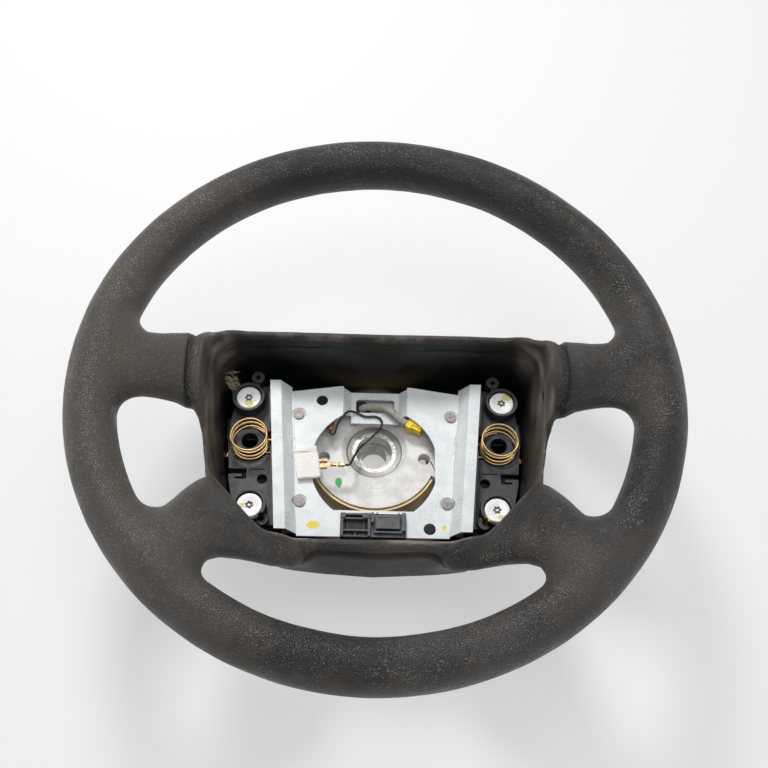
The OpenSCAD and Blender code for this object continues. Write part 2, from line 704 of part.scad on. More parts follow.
// Push-on terminal: flat receptacle with rolled edges and a crimp barrel for the wire
module horn_terminal() {
    length = terminal_x[1] - terminal_x[0];
    color([0.78, 0.60, 0.36]) {
        difference() {
            translate([terminal_x[0], terminal_y - terminal_w / 2, terminal_z - terminal_t / 2])
                cube([length, terminal_w, terminal_t]);
            translate([terminal_x[0] + 1, terminal_y - 0.4, terminal_z]) cube([length - 3, 0.8, 4]);
        }
        translate([terminal_x[1] - 1, terminal_y, terminal_z]) rotate([0, 90, 0])
            cylinder(d = crimp_d, h = 10, $fn = 24);
    }
}

// Sleeve of white wrap over the blade end of the terminal
module terminal_wrap() {
    color([0.96, 0.96, 0.93]) difference() {
        translate([wrap_at[0], wrap_at[1], bracket_z + 0.25]) rotate([0, 0, wrap_angle])
            translate([-wrap_size[0] / 2, -wrap_size[1] / 2, 0]) cube(wrap_size);
        translate([terminal_x[0] - 1, terminal_y - terminal_w / 2 - 0.2, terminal_z - terminal_t / 2 - 0.2])
            cube([30, terminal_w + 0.4, terminal_t + 0.4]);
    }
}

module lead_grommet() {
    color(black_colour) translate([grommet_at[0], grommet_at[1], plate_z - plate_t]) difference() {
        union() {
            cylinder(d = grommet_d, h = plate_t, $fn = 32);
            translate([0, 0, plate_t + 0.1]) cylinder(d = grommet_d + 2, h = 1.2, $fn = 32);
            translate([0, 0, plate_t - 0.1]) cylinder(d = grommet_d, h = 0.4, $fn = 32);
        }
        translate([0, 0, -1]) cylinder(d = sleeve_d + 0.3, h = plate_t + 5, $fn = 32);
    }
}

module lead_sleeve() {
    color([0.68, 0.64, 0.56]) tube(sleeve_route, sleeve_d, 12);
}

// Plug at the lead's end: collar, narrower body and a latch on top
module airbag_plug() {
    color([0.93, 0.79, 0.12]) {
        translate([plug_collar[0][0] + 0.1, plug_collar[0][1], plug_low_z])
            cube([plug_collar[1][0] - plug_collar[0][0] - 0.1, plug_collar[1][1] - plug_collar[0][1],
                plug_high_z - plug_low_z]);
        translate([plug_body[0][0] - 0.5, plug_body[0][1], plug_low_z + 0.6])
            cube([plug_body[1][0] - plug_body[0][0] + 0.5, plug_body[1][1] - plug_body[0][1], 6.6]);
    }
}

foam_cover();
rim_skeleton();
armature();
bracket_pillars();
hub_pot();
hub_bush();
bracket_plate();
bracket_rivets();
left_carrier();
right_carrier();
carrier_screws();
left_horn_spring();
right_horn_spring();
left_pin_bush();
right_pin_bush();
left_pin_clip();
right_pin_clip();
left_connector();
right_connector();
horn_contact();
horn_wire();
horn_terminal();
terminal_wrap();
lead_grommet();
lead_sleeve();
airbag_plug();
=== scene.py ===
# %% [markdown]
# A car steering wheel with its airbag taken out, dressed in Blender.
# The hard parts come ready-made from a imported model, in metres, with +Z towards the driver and
# +Y at twelve o'clock. This script gives each of them a finish, replaces the soft foam and the
# wiring with modelled meshes, and adds the small things that a plain solid leaves out.

import itertools
import math

import bmesh
import bpy
import numpy as np
from mathutils import Matrix, Vector, noise


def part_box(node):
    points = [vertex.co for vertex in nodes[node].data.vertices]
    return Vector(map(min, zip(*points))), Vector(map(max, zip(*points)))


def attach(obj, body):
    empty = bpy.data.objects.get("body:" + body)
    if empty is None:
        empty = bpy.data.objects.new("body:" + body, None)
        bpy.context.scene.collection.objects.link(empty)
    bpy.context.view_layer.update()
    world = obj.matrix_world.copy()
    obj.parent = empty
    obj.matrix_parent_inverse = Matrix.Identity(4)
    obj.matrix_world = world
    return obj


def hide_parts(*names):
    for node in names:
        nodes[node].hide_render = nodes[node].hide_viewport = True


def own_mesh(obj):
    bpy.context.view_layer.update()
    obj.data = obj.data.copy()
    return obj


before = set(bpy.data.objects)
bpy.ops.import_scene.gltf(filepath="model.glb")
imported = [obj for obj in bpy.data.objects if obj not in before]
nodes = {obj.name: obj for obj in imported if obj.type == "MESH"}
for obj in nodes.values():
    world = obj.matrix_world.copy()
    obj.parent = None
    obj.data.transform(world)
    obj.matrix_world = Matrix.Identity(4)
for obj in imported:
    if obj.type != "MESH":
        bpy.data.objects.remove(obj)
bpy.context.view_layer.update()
MM = 0.001

# %% [markdown]
# The camera stands on the driver's six o'clock side and looks down at the wheel, which lies on
# its hub. Its place was found by fitting the rim's ellipse: a distance, an elevation, a small
# roll, and the wheel turned a little about its own axis. Building the rotation from its three
# axes keeps the numbers readable.

# %% Camera
CAMERA_DISTANCE = 0.611
CAMERA_ELEVATION = math.radians(60.33)
CAMERA_ROLL = math.radians(2.78)
WHEEL_TURN = math.radians(1.6)
FRAME_PIXELS = 768
FOCAL_PIXELS = 990.2
SENSOR_WIDTH = 36
RIM_CENTRE_PIXEL = (377.57, 381.36)
RIM_PLANE_Z = 0.132


def camera_axes():
    """Rows are the camera's right, up and back, in the wheel's frame."""
    back = Vector((0, -math.cos(CAMERA_ELEVATION), math.sin(CAMERA_ELEVATION)))
    level_right = Vector((1, 0, 0))
    level_up = back.cross(level_right)
    right = math.cos(CAMERA_ROLL) * level_right + math.sin(CAMERA_ROLL) * level_up
    up = math.cos(CAMERA_ROLL) * level_up - math.sin(CAMERA_ROLL) * level_right
    half = FRAME_PIXELS / 2
    column, row = RIM_CENTRE_PIXEL
    aim = Vector(((column - half) / FOCAL_PIXELS, (half - row) / FOCAL_PIXELS, -1))
    swing = Vector((0, 0, -1)).rotation_difference(aim).to_matrix()
    turn = Matrix.Rotation(WHEEL_TURN, 3, "Z")
    return swing @ Matrix((right, up, back)) @ turn, turn.transposed() @ back


camera_rows, towards_camera = camera_axes()
camera = bpy.data.objects.new("camera", bpy.data.cameras.new("camera"))
camera.data.sensor_width = SENSOR_WIDTH
camera.data.lens = FOCAL_PIXELS * SENSOR_WIDTH / FRAME_PIXELS
camera.matrix_world = (Matrix.Translation(towards_camera * CAMERA_DISTANCE + Vector((0, 0, RIM_PLANE_Z)))
                       @ camera_rows.transposed().to_4x4())
bpy.context.scene.collection.objects.link(camera)
bpy.context.scene.camera = camera
print("camera lens in mm:", round(camera.data.lens, 2))

# %% [markdown]
# A cord is a tube swept along a smooth line. The route's points are the few that matter, and a
# Catmull-Rom curve through them gives the bends between. Sweeping the mesh by hand, and not
# with a curve object's bevel, leaves a UV map that runs along the cord, which a woven sleeve
# needs for its threads.

# %% Tubes along a line
def link_object(name, data):
    """A new object in the scene, at the origin."""
    thing = bpy.data.objects.new(name, data)
    bpy.context.scene.collection.objects.link(thing)
    return thing


def full_turn(count):
    """Angles that go once round, without the last one."""
    return np.linspace(0, 2 * math.pi, count, endpoint=False)


def smooth_line(points, steps):
    """Catmull-Rom curve through the points, with so many steps between each pair."""
    p = np.array(points, float)
    p = np.vstack([2 * p[0] - p[1], p, 2 * p[-1] - p[-2]])
    t = np.linspace(0, 1, steps, endpoint=False)[:, None]
    parts = []
    for a, b, c, d in zip(p, p[1:], p[2:], p[3:]):
        parts.append(0.5 * (2 * b + (c - a) * t + (2 * a - 5 * b + 4 * c - d) * t ** 2
                            + (3 * b - a - 3 * c + d) * t ** 3))
    return np.vstack([*parts, p[-2:-1]])


def new_piece(name, vertices, faces):
    """A mesh object at the origin, its place in its vertices, in metres."""
    mesh = bpy.data.meshes.new(name)
    mesh.from_pydata([tuple(v) for v in vertices], [], [tuple(f) for f in faces])
    mesh.update()
    mesh.shade_smooth()
    return link_object(name, mesh)


def tube_rings(line, radius, sides):
    """Rings of points along a line, carried along without twist."""
    heading = np.gradient(line, axis=0)
    heading /= np.linalg.norm(heading, axis=1)[:, None]
    side = np.cross(heading[0], (0, 0, 1) if abs(heading[0][2]) < 0.9 else (0, 1, 0))
    angle = full_turn(sides)
    radius = np.broadcast_to(radius, len(line))
    rings = []
    for point, ahead, r in zip(line, heading, radius):
        side = side - ahead * (side @ ahead)
        side /= np.linalg.norm(side)
        other = np.cross(ahead, side)
        rings.append(point + r * (np.cos(angle)[:, None] * side + np.sin(angle)[:, None] * other))
    return np.array(rings)


def ring_faces(count, sides):
    """Faces of a closed solid whose vertices are rings, one after the other."""
    faces = []
    for i, k in itertools.product(range(count - 1), range(sides)):
        here, ahead, beside = i * sides, (i + 1) * sides, (k + 1) % sides
        faces.append((here + k, here + beside, ahead + beside, ahead + k))
    last = (count - 1) * sides
    return faces + [tuple(range(sides - 1, -1, -1)), tuple(range(last, last + sides))]


def tube(name, line, radius, sides):
    """Closed round tube with a UV map in metres: along the line, and round it."""
    count = len(line)
    piece = new_piece(name, tube_rings(line, radius, sides).reshape(-1, 3), ring_faces(count, sides))
    along = np.concatenate([[0], np.cumsum(np.linalg.norm(np.diff(line, axis=0), axis=1))])
    girth = 2 * math.pi * float(np.max(radius))
    uv = piece.data.uv_layers.new(name="run")
    for i in range(count - 1):
        for k in range(sides):
            corners = [(i, k), (i, k + 1), (i + 1, k + 1), (i + 1, k)]
            start = piece.data.polygons[i * sides + k].loop_start
            for j, (ring, spoke) in enumerate(corners):
                uv.data[start + j].uv = (along[ring], girth * spoke / sides)
    return piece


def line_length(line):
    return float(np.linalg.norm(np.diff(line, axis=0), axis=1).sum())


bend = smooth_line([(0, 0, 0), (1, 0, 0), (1, 1, 0)], 8)
print("a right-angled route of 2 becomes", round(line_length(bend), 3), "as a smooth line")

# %% [markdown]
# Most small parts here are either a stack of rings, a set of blocks, or a copy of a ready-made
# part, and all of them want edges that catch the light. A few helpers make each kind: a loft
# through rings, blocks with rounded edges, and a copy whose edges are rounded. The last helper
# hides the plain parts that a finished piece stands for, sets it on the body it rides on and
# keeps its slot.

# %% Helpers for small parts
def loft(name, rings):
    """Closed solid through rings of points, each ring with the same number of points."""
    rings = np.array(rings, float)
    piece = new_piece(name, rings.reshape(-1, 3), ring_faces(*rings.shape[:2]))
    mesh = bmesh.new()
    mesh.from_mesh(piece.data)
    bmesh.ops.recalc_face_normals(mesh, faces=mesh.faces)
    mesh.to_mesh(piece.data)
    mesh.free()
    return piece


def apply_modifiers(piece):
    """Bakes a piece's modifiers into a plain mesh."""
    bpy.context.view_layer.update()
    result = piece.evaluated_get(bpy.context.evaluated_depsgraph_get())
    mesh = bpy.data.meshes.new_from_object(result)
    piece.modifiers.clear()
    piece.data = mesh
    return piece


def soften(piece, width):
    """Rounds a piece's edges by a width in metres and keeps its flat faces flat-looking."""
    bevel = piece.modifiers.new("edges", "BEVEL")
    bevel.width = width
    bevel.segments = 2
    bevel.limit_method = "ANGLE"
    bevel.angle_limit = math.radians(32)
    bevel.use_clamp_overlap = False
    piece.data.shade_smooth()
    piece.modifiers.new("shading", "WEIGHTED_NORMAL")
    return apply_modifiers(piece)


def blocks(name, boxes, width):
    """One piece from several boxes, each (low corner, high corner) in millimetres, with soft edges."""
    corner = np.array(list(itertools.product((0, 1), repeat=3)))
    sides = [(0, 1, 3, 2), (4, 6, 7, 5), (0, 4, 5, 1), (2, 3, 7, 6), (0, 2, 6, 4), (1, 5, 7, 3)]
    vertices, faces = [], []
    for low, high in boxes:
        faces += [tuple(len(vertices) + i for i in side) for side in sides]
        vertices += list(np.array(low) + corner * (np.array(high) - np.array(low)))
    return soften(new_piece(name, np.array(vertices) * MM, faces), width * MM)


def rounded_copy(name, node, width):
    """A copy of a hard part with its vertices merged and its edges rounded."""
    mesh = bmesh.new()
    mesh.from_mesh(nodes[node].data)
    bmesh.ops.remove_doubles(mesh, verts=mesh.verts, dist=2e-6)
    bmesh.ops.recalc_face_normals(mesh, faces=mesh.faces)
    copy = bpy.data.meshes.new(name)
    mesh.to_mesh(copy)
    mesh.free()
    return soften(link_object(name, copy), width * MM)


made = []


def finish_piece(piece, slot, *stands_for, body="wheel"):
    """Hides the plain parts that a finished piece stands for, sets it on its body and keeps its slot."""
    if stands_for:
        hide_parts(*stands_for)
    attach(piece, body)
    made.append((piece, slot))
    return piece


print("plain parts that a finished piece can stand for:", len(nodes))

# %% [markdown]
# Two cords lie in the hub. The thin black horn wire runs from a copper crimp under the bracket,
# over the bracket's bridge, to a push-on terminal. The airbag's lead comes up through the hub
# in a beige sleeve and ends in a yellow plug. Their routes are the ones of the solids that
# they stand for, so they lie on the same metal.

# %% The two cords
HORN_WIRE_ROUTE = [
    (-31, 12, 43.6), (-31, 9.8, 43.6), (-30.6, 7.8, 43.5), (-29.2, 6.8, 43.5), (-27.9, 7.8, 43.9),
    (-27.2, 10.2, 44.7), (-26, 13.8, 46.2), (-23, 18, 48.4), (-20, 22.3, 47.6), (-17, 25, 44.4),
    (-13, 24.8, 42.6), (-8, 22.6, 42.2), (-4, 22.2, 42.2), (0, 22.4, 42.2), (3.4, 21, 42.2),
    (5, 18, 42), (4.4, 14.6, 41), (2, 11.6, 39.6), (-2, 8, 38.4), (-6, 4, 38), (-9.6, 0.2, 38.6),
    (-12, -4.6, 40.6), (-13.6, -9, 43.6), (-14.8, -13.4, 46.8), (-15.8, -17, 49.1),
    (-17.4, -19, 49.8), (-19.9, -19, 49.8)]
SLEEVE_ROUTE = [
    (-9.5, 31, 27.3), (-9.5, 31, 31), (-9.5, 31, 35), (-8.8, 30.8, 38), (-6.4, 30.5, 40.4),
    (-3, 30.2, 41.8), (1, 29.9, 42.6), (5, 29, 43.4), (9, 27, 44.4), (13, 23.6, 45.3),
    (16.6, 20.4, 45.2), (19.2, 18.2, 44.3), (21.2, 17.2, 43.4), (23, 17.2, 43.4)]
HORN_WIRE_D = 1.6
SLEEVE_D = 5.2

horn_line = smooth_line(np.array(HORN_WIRE_ROUTE) * MM, 6)
sleeve_line = smooth_line(np.array(SLEEVE_ROUTE) * MM, 8)
horn_wire = tube("horn_wire_insulation", horn_line, HORN_WIRE_D / 2 * MM, 16)
sleeve_swell = 1 + 0.05 * np.sin(np.arange(len(sleeve_line)) * 0.9)
lead_sleeve = tube("lead_sleeve_woven", sleeve_line, SLEEVE_D / 2 * MM * sleeve_swell, 32)
finish_piece(horn_wire, "wire_skin", "horn_wire")
finish_piece(lead_sleeve, "sleeve", "lead_sleeve")
print("horn wire", round(line_length(horn_line), 4), "m, sleeve", round(line_length(sleeve_line), 4), "m")

# %% [markdown]
# The terminal is a strip of thin brass: its blade end has both edges rolled inwards, and behind a
# narrow neck two barrels are crimped round the wire. Lofting the barrels ring by ring lets each
# ring dip at the top, where the real one is pressed in along its seam.

# %% Push-on terminal of the horn wire
TERMINAL_Y = -19.0
TERMINAL_Z = 49.8
CRIMPS = [("wire grip", -29.6, -26.0, 1.35, 0.3), ("skin grip", -24.6, -20.2, 1.6, 0.22)]


def crimp_barrel(name, start, end, radius, dent):
    """Level barrel from start to end, in millimetres, pressed in along its top and flared at its mouths."""
    start, end = np.array(start, float), np.array(end, float)
    ahead = (end - start) / np.linalg.norm(end - start)
    up = np.array((0, 0, 1.0))
    side = np.cross(up, ahead)
    angle = full_turn(28)
    pressed = 1 - dent * np.exp(-((angle - math.pi / 2) / 0.32) ** 2)
    spokes = -np.cos(angle)[:, None] * side + np.sin(angle)[:, None] * up
    rings = []
    for share in (0, 0.12, 0.5, 0.88, 1):
        r = (radius * pressed * (1.1 if share in (0, 1) else 1.0))[:, None]
        rings.append((start + (end - start) * share + r * spokes) * MM)
    return loft(name, rings)


def join_pieces(name, parts):
    """Joins several mesh pieces into one and names it."""
    mesh = bmesh.new()
    for part in parts:
        mesh.from_mesh(part.data)
        bpy.data.objects.remove(part)
    joined = bpy.data.meshes.new(name)
    mesh.to_mesh(joined)
    mesh.free()
    joined.shade_smooth()
    joined.set_sharp_from_angle(angle=math.radians(38))
    return link_object(name, joined)


BLADE = [((-45, TERMINAL_Y - 3.3, 49.0), (-33.2, TERMINAL_Y + 3.3, 49.6)),
         ((-33.6, TERMINAL_Y - 1.1, 49.1), (-20.4, TERMINAL_Y + 1.1, 49.7)),
         ((-34.4, TERMINAL_Y - 2.2, 49.05), (-32.2, TERMINAL_Y + 2.2, 49.65))]
terminal_parts = [blocks("blade", BLADE, 0.12)]
for side in (-1, 1):
    roll = np.array([(x, TERMINAL_Y + side * 2.5, 50.3) for x in np.linspace(-38.2, -32.0, 8)]) * MM
    terminal_parts.append(tube("roll", roll, 1.05 * MM, 20))
for label, start, end, radius, dent in CRIMPS:
    ends = [(x, TERMINAL_Y, TERMINAL_Z) for x in (start, end)]
    terminal_parts.append(crimp_barrel(label, *ends, radius, dent))
terminal = finish_piece(join_pieces("horn_terminal_brass", terminal_parts), "terminal", "horn_terminal")
print("terminal faces:", len(terminal.data.polygons))

# %% [markdown]
# A folded strip of white wrap covers the terminal's blade end. It is a flattened sleeve with soft
# corners: a superellipse swept along its length, pinched at the top fold and rumpled a little.

# %% White wrap
WRAP_CENTRE = np.array([-45.6, -18.3, 49.85])
WRAP_HALF = (8.4, 11.6, 1.6)
WRAP_ANGLE = math.radians(10)


def flat(value, power):
    return np.sign(value) * np.abs(value) ** power


def wrap_rings():
    angle = full_turn(56)
    c, s = math.cos(WRAP_ANGLE), math.sin(WRAP_ANGLE)
    rings = []
    for share in np.linspace(-1, 1, 33):
        end = 1 - max(0, abs(share) - 0.93) * 5
        fold = 1 - 0.55 * math.exp(-((share - 0.62) / 0.05) ** 2)
        a = WRAP_HALF[0] * (0.97 + 0.03 * math.cos(3 * share)) * flat(np.cos(angle), 0.35)
        b = (WRAP_HALF[2] * end * fold) * flat(np.sin(angle), 0.6)
        y = WRAP_HALF[1] * share + 0.5 * share * np.sin(a * 0.35)
        spots = zip(a, np.broadcast_to(y, a.shape))
        rumple = [0.16 * noise.noise(Vector((u * 0.35, v * 0.35, 4.0))) for u, v in spots]
        ring = np.stack([a, y + 0 * a, b + np.array(rumple)], 1)
        ring = np.stack([ring[:, 0] * c - ring[:, 1] * s, ring[:, 0] * s + ring[:, 1] * c, ring[:, 2]], 1)
        rings.append((ring + WRAP_CENTRE) * MM)
    return rings[::-1]


wrap = finish_piece(loft("terminal_wrap_folded", wrap_rings()), "wrap", "terminal_wrap")
print("wrap faces:", len(wrap.data.polygons))

# %% [markdown]
# The airbag's plug is a small yellow moulding: a collar that takes the sleeve, a narrower body
# with a latch tongue on top, and ribs that fingers grip. Boxes with rounded edges are enough for
# a moulding of this size.

# %% Yellow plug
PLUG_START = np.array([23.6, 18.4, 42.2])
PLUG_TURN = math.radians(-28)
PLUG_BLOCKS = [((0, -5, -3.8), (4.4, 5, 3.4)), ((0.5, -5.3, -3), (1.5, 5.3, 3.8)),
               ((2.9, -5.3, -3), (3.9, 5.3, 3.8)), ((4, -3.9, -3.4), (11.2, 3.9, 2.6)),
               ((2.4, -1.8, 2.4), (10.6, 1.8, 3.5)), ((8.8, -2.4, 3.2), (10.2, 2.4, 4)),
               ((5.6, -4.2, -2.6), (6.4, 4.2, 2)), ((7.6, -4.2, -2.6), (8.4, 4.2, 2))]
plug = blocks("airbag_plug_moulded", PLUG_BLOCKS, 0.35)
plug.data.transform(Matrix.Translation(PLUG_START * MM) @ Matrix.Rotation(PLUG_TURN, 4, "Z"))
finish_piece(plug, "plug", "airbag_plug")
print("plug faces:", len(plug.data.polygons))

# %% [markdown]
# Materials are node trees. Wiring them by hand is long-winded, so helpers keep it short. One
# adds a node with its settings and inputs, linking where an input is another node's socket,
# and one opens a node group with named inputs and outputs. The rest name what is done often.

# %% Helpers for node trees
def give(tree, socket, value):
    """Links a socket to another node's socket, or sets it to a value."""
    if isinstance(value, bpy.types.NodeSocket):
        tree.links.new(value, socket)
    else:
        socket.default_value = value


def add(tree, kind, inputs=None, **settings):
    """Adds a node. An input that is a socket gets linked, any other is set."""
    node = tree.nodes.new(kind)
    for key, value in settings.items():
        setattr(node, key, value)
    for key, value in (inputs or {}).items():
        give(tree, node.inputs[key], value)
    return node


def calc(tree, operation, a, b=0.0, clamp=False):
    return add(tree, "ShaderNodeMath", {0: a, 1: b}, operation=operation, use_clamp=clamp).outputs[0]


def plus(tree, a, b, clamp=False):
    return calc(tree, "ADD", a, b, clamp)


def minus(tree, a, b):
    return calc(tree, "SUBTRACT", a, b)


def times(tree, a, b):
    return calc(tree, "MULTIPLY", a, b)


def remap(tree, value, low, high, to_low=0.0, to_high=1.0):
    """Smooth step of a value from low..high to to_low..to_high."""
    limits = {"From Min": low, "From Max": high, "To Min": to_low, "To Max": to_high}
    return add(tree, "ShaderNodeMapRange", {"Value": value, **limits},
               interpolation_type="SMOOTHSTEP").outputs[0]


def mix_colour(tree, mask, first, second):
    node = add(tree, "ShaderNodeMix", data_type="RGBA")
    for key, value in (("Factor_Float", mask), ("A_Color", first), ("B_Color", second)):
        socket = next(s for s in node.inputs if s.identifier == key)
        give(tree, socket, (*value, 1) if isinstance(value, tuple) else value)
    return next(s for s in node.outputs if s.identifier == "Result_Color")


def tinted(tree, colour, mask, share, tint):
    """Colour with a share of a tint where the mask is."""
    return mix_colour(tree, times(tree, mask, share), colour, tint)


def open_group(name, inputs, outputs):
    """New shader group with (name, kind, default) inputs. Gives its tree, inner inputs and outputs."""
    tree = bpy.data.node_groups.new(name, "ShaderNodeTree")
    for label, kind, default in inputs:
        tree.interface.new_socket(label, in_out="INPUT", socket_type=kind).default_value = default
    for label, kind in outputs:
        tree.interface.new_socket(label, in_out="OUTPUT", socket_type=kind)
    return tree, tree.nodes.new("NodeGroupInput").outputs, tree.nodes.new("NodeGroupOutput").inputs


def use_group(tree, group, **inputs):
    return add(tree, "ShaderNodeGroup", inputs, node_tree=group).outputs


FLOAT = "NodeSocketFloat"
VECTOR = "NodeSocketVector"
print("socket kinds for groups:", FLOAT, VECTOR)

# %% [markdown]
# Patterns need to know where they are. The piece's own coordinates say so in metres, which makes
# every size below a real one. A screen counts its colours on a bent scale, so they are turned into
# the linear values that light adds up in.

# %% Places, noise and colours
def object_point(tree):
    return tree.nodes.new("ShaderNodeTexCoord").outputs["Object"]


def coordinate(tree, axis):
    """One coordinate of the piece, in millimetres."""
    split = add(tree, "ShaderNodeSeparateXYZ", {0: object_point(tree)})
    return times(tree, split.outputs[axis], 1 / MM)


def vector_calc(tree, operation, a, b):
    return add(tree, "ShaderNodeVectorMath", {0: a, 1: b}, operation=operation).outputs


def stretched_distance(tree, point, centre, stretch):
    """Length of the way from a centre to a point, stretched along each axis."""
    away = vector_calc(tree, "SUBTRACT", point, centre)[0]
    shaped = vector_calc(tree, "MULTIPLY", away, stretch)[0]
    return vector_calc(tree, "LENGTH", shaped, (0, 0, 0))["Value"]


def axis_distance(tree, x=0.0, y=0.0):
    """Distance in millimetres from an upright axis."""
    reach = stretched_distance(tree, object_point(tree), (x * MM, y * MM, 0), (1, 1, 0))
    return times(tree, reach, 1 / MM)


def noise_at(tree, scale, detail, roughness=0.5):
    inputs = {"Vector": object_point(tree), "Scale": scale, "Detail": detail, "Roughness": roughness}
    return add(tree, "ShaderNodeTexNoise", inputs).outputs


def srgb(red, green, blue):
    """Screen colour, 0 to 255, as the linear values that Blender works in."""
    return tuple(((c / 255 + 0.055) / 1.055) ** 2.4 if c > 10 else c / 255 / 12.92
                 for c in (red, green, blue))


print("a screen's middle grey is a linear", round(srgb(128, 128, 128)[0], 3))

# %% [markdown]
# Four effects come back on most surfaces: patches of another tone, fine grit, a moulded grain,
# and blobs of marking paint. Each is a group, so that a material only says how large and how
# strong its own is.

# %% Shared effects
def cells_at(tree, point, scale, randomness, **settings):
    inputs = {"Vector": point, "Scale": scale, "Randomness": randomness}
    return add(tree, "ShaderNodeTexVoronoi", inputs, **settings).outputs["Distance"]


def patches_group():
    sizes = [("Size", FLOAT, 0.02), ("Low", FLOAT, 0.4), ("High", FLOAT, 0.6), ("Detail", FLOAT, 4.0)]
    tree, given, out = open_group("patches", sizes, [("Mask", FLOAT)])
    cloud = noise_at(tree, calc(tree, "DIVIDE", 1.0, given["Size"]), given["Detail"], 0.6)
    tree.links.new(remap(tree, cloud["Fac"], given["Low"], given["High"]), out["Mask"])
    return tree


def grit_group():
    tree, given, out = open_group("grit", [("Size", FLOAT, 0.001), ("Amount", FLOAT, 0.3)], [("Mask", FLOAT)])
    scale = calc(tree, "DIVIDE", 1.0, given["Size"])
    clump = noise_at(tree, times(tree, scale, 0.12), 3.0)["Fac"]
    reach = times(tree, given["Amount"], remap(tree, clump, 0.45, 0.62))
    near = minus(tree, reach, cells_at(tree, object_point(tree), scale, 1.0))
    tree.links.new(remap(tree, near, 0.0, 0.08), out["Mask"])
    return tree


def grain_group():
    outputs = [("Height", FLOAT), ("Pits", FLOAT)]
    tree, given, out = open_group("moulded grain", [("Size", FLOAT, 0.001)], outputs)
    scale = calc(tree, "DIVIDE", 1.0, given["Size"])
    bend = noise_at(tree, times(tree, scale, 0.7), 2.0)["Color"]
    shift = add(tree, "ShaderNodeVectorMath", {0: bend, "Scale": 0.0006}, operation="SCALE").outputs[0]
    moved = vector_calc(tree, "ADD", object_point(tree), shift)[0]
    cells = cells_at(tree, moved, scale, 0.9, feature="DISTANCE_TO_EDGE")
    fine = noise_at(tree, times(tree, scale, 3.0), 3.0)["Fac"]
    pebble = remap(tree, cells, 0.0, 0.22)
    height = plus(tree, pebble, times(tree, fine, 0.5))
    tree.links.new(height, out["Height"])
    tree.links.new(minus(tree, 1.0, pebble), out["Pits"])
    return tree


def blob_group():
    form = [("Centre", VECTOR, (0, 0, 0)), ("Stretch", VECTOR, (1, 1, 1)), ("Radius", FLOAT, 0.003),
            ("Ragged", FLOAT, 0.3)]
    tree, given, out = open_group("paint blob", form, [("Mask", FLOAT)])
    reach = stretched_distance(tree, object_point(tree), given["Centre"], given["Stretch"])
    rough = noise_at(tree, 900.0, 4.0)["Fac"]
    edge = times(tree, minus(tree, rough, 0.5), given["Ragged"])
    ratio = plus(tree, calc(tree, "DIVIDE", reach, given["Radius"]), times(tree, edge, 2.0))
    tree.links.new(remap(tree, ratio, 1.06, 0.94), out["Mask"])
    return tree


PATCHES = patches_group()
GRIT = grit_group()
GRAIN = grain_group()
BLOB = blob_group()
print("shared effects:", [group.name for group in (PATCHES, GRIT, GRAIN, BLOB)])


def new_material(name):
    material = bpy.data.materials.new(name)
    material.use_nodes = True
    return material, material.node_tree, material.node_tree.nodes["Principled BSDF"]


def feed(tree, shader, **inputs):
    """Sets or links a shader's sockets, written with underscores for spaces."""
    for key, value in inputs.items():
        give(tree, shader.inputs[key.replace("_", " ")], value)


def bump(tree, height, distance):
    inputs = {"Height": height, "Distance": distance, "Strength": 1.0}
    return add(tree, "ShaderNodeBump", inputs).outputs["Normal"]


# %% [markdown]
# The foam is the wheel's skin: a rim, four spokes and a bowl round the hub, moulded in one piece
# with soft blends between them. Modelling those blends face by face is slow. A distance field
# does it in a few formulas: each form is the distance to its surface, a smooth minimum joins
# them with a fillet, and a smooth maximum cuts the well out. The surface is where the distance
# is zero.

# %% Foam forms as distances, in millimetres
foam_low, foam_high = (np.array(corner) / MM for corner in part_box("foam_cover"))
GRIP_W = 31.0
GRIP_H = 36.0
RIM_R = foam_high[0] - GRIP_W / 2
RIM_Z = foam_high[2] - GRIP_H / 2
BACK_Z = foam_low[2]
LIP_Z = 88.0
MOUTH_W = 226.0
FLOOR_W = 208.0
FLOOR_Z = BACK_Z + 9.0
UPPER_Y = 14.0
LOWER_ANGLE = math.radians(42.5)
SPOKE_HALF_T = 14.0
SPOKE_ROOT_R = MOUTH_W / 2 - 6
SPOKE_TIP_R = RIM_R - 3.5
POT_HOLE_R = 54.2
UPPER_WIDTHS = [(95, 44, 32), (107, 43, 27), (116, 37, 21.5), (127, 28.5, 20),
                (137, 22.5, 22), (146, 19.5, 24), (158, 23, 28), (172, 32, 32)]
LOWER_WIDTHS = [(95, 38, 46), (107, 36, 45), (118, 31.5, 40), (130, 26.5, 30),
                (140, 22.5, 22.5), (147, 20.5, 20.5), (158, 22, 22), (172, 30, 30)]
CORNER_Y = -61
SHOULDER_Y = -42
WIDEST_Y = -2
print("rim: ring radius", round(RIM_R, 1), "mm, grip", GRIP_W, "by", GRIP_H, "mm")

# %% [markdown]
# Where two distances differ by less than k millimetres, their smooth minimum dips below both, and
# that is the fillet. A spoke is an ellipse swept outwards: its reach to either side is read from a
# table, and its middle climbs in a curve from the bowl's lip to the rim.

# %% Soft joins and spokes
def smooth_min(a, b, k):
    h = np.clip(0.5 + 0.5 * (b - a) / k, 0, 1)
    return b + (a - b) * h - k * h * (1 - h)


def smooth_max(a, b, k):
    return -smooth_min(-a, -b, k)


def ellipse_distance(a, b, half_a, half_b):
    k0 = np.hypot(a / half_a, b / half_b) + 1e-6
    k1 = np.hypot(a / half_a ** 2, b / half_b ** 2) + 1e-6
    return k0 * (k0 - 1) / k1


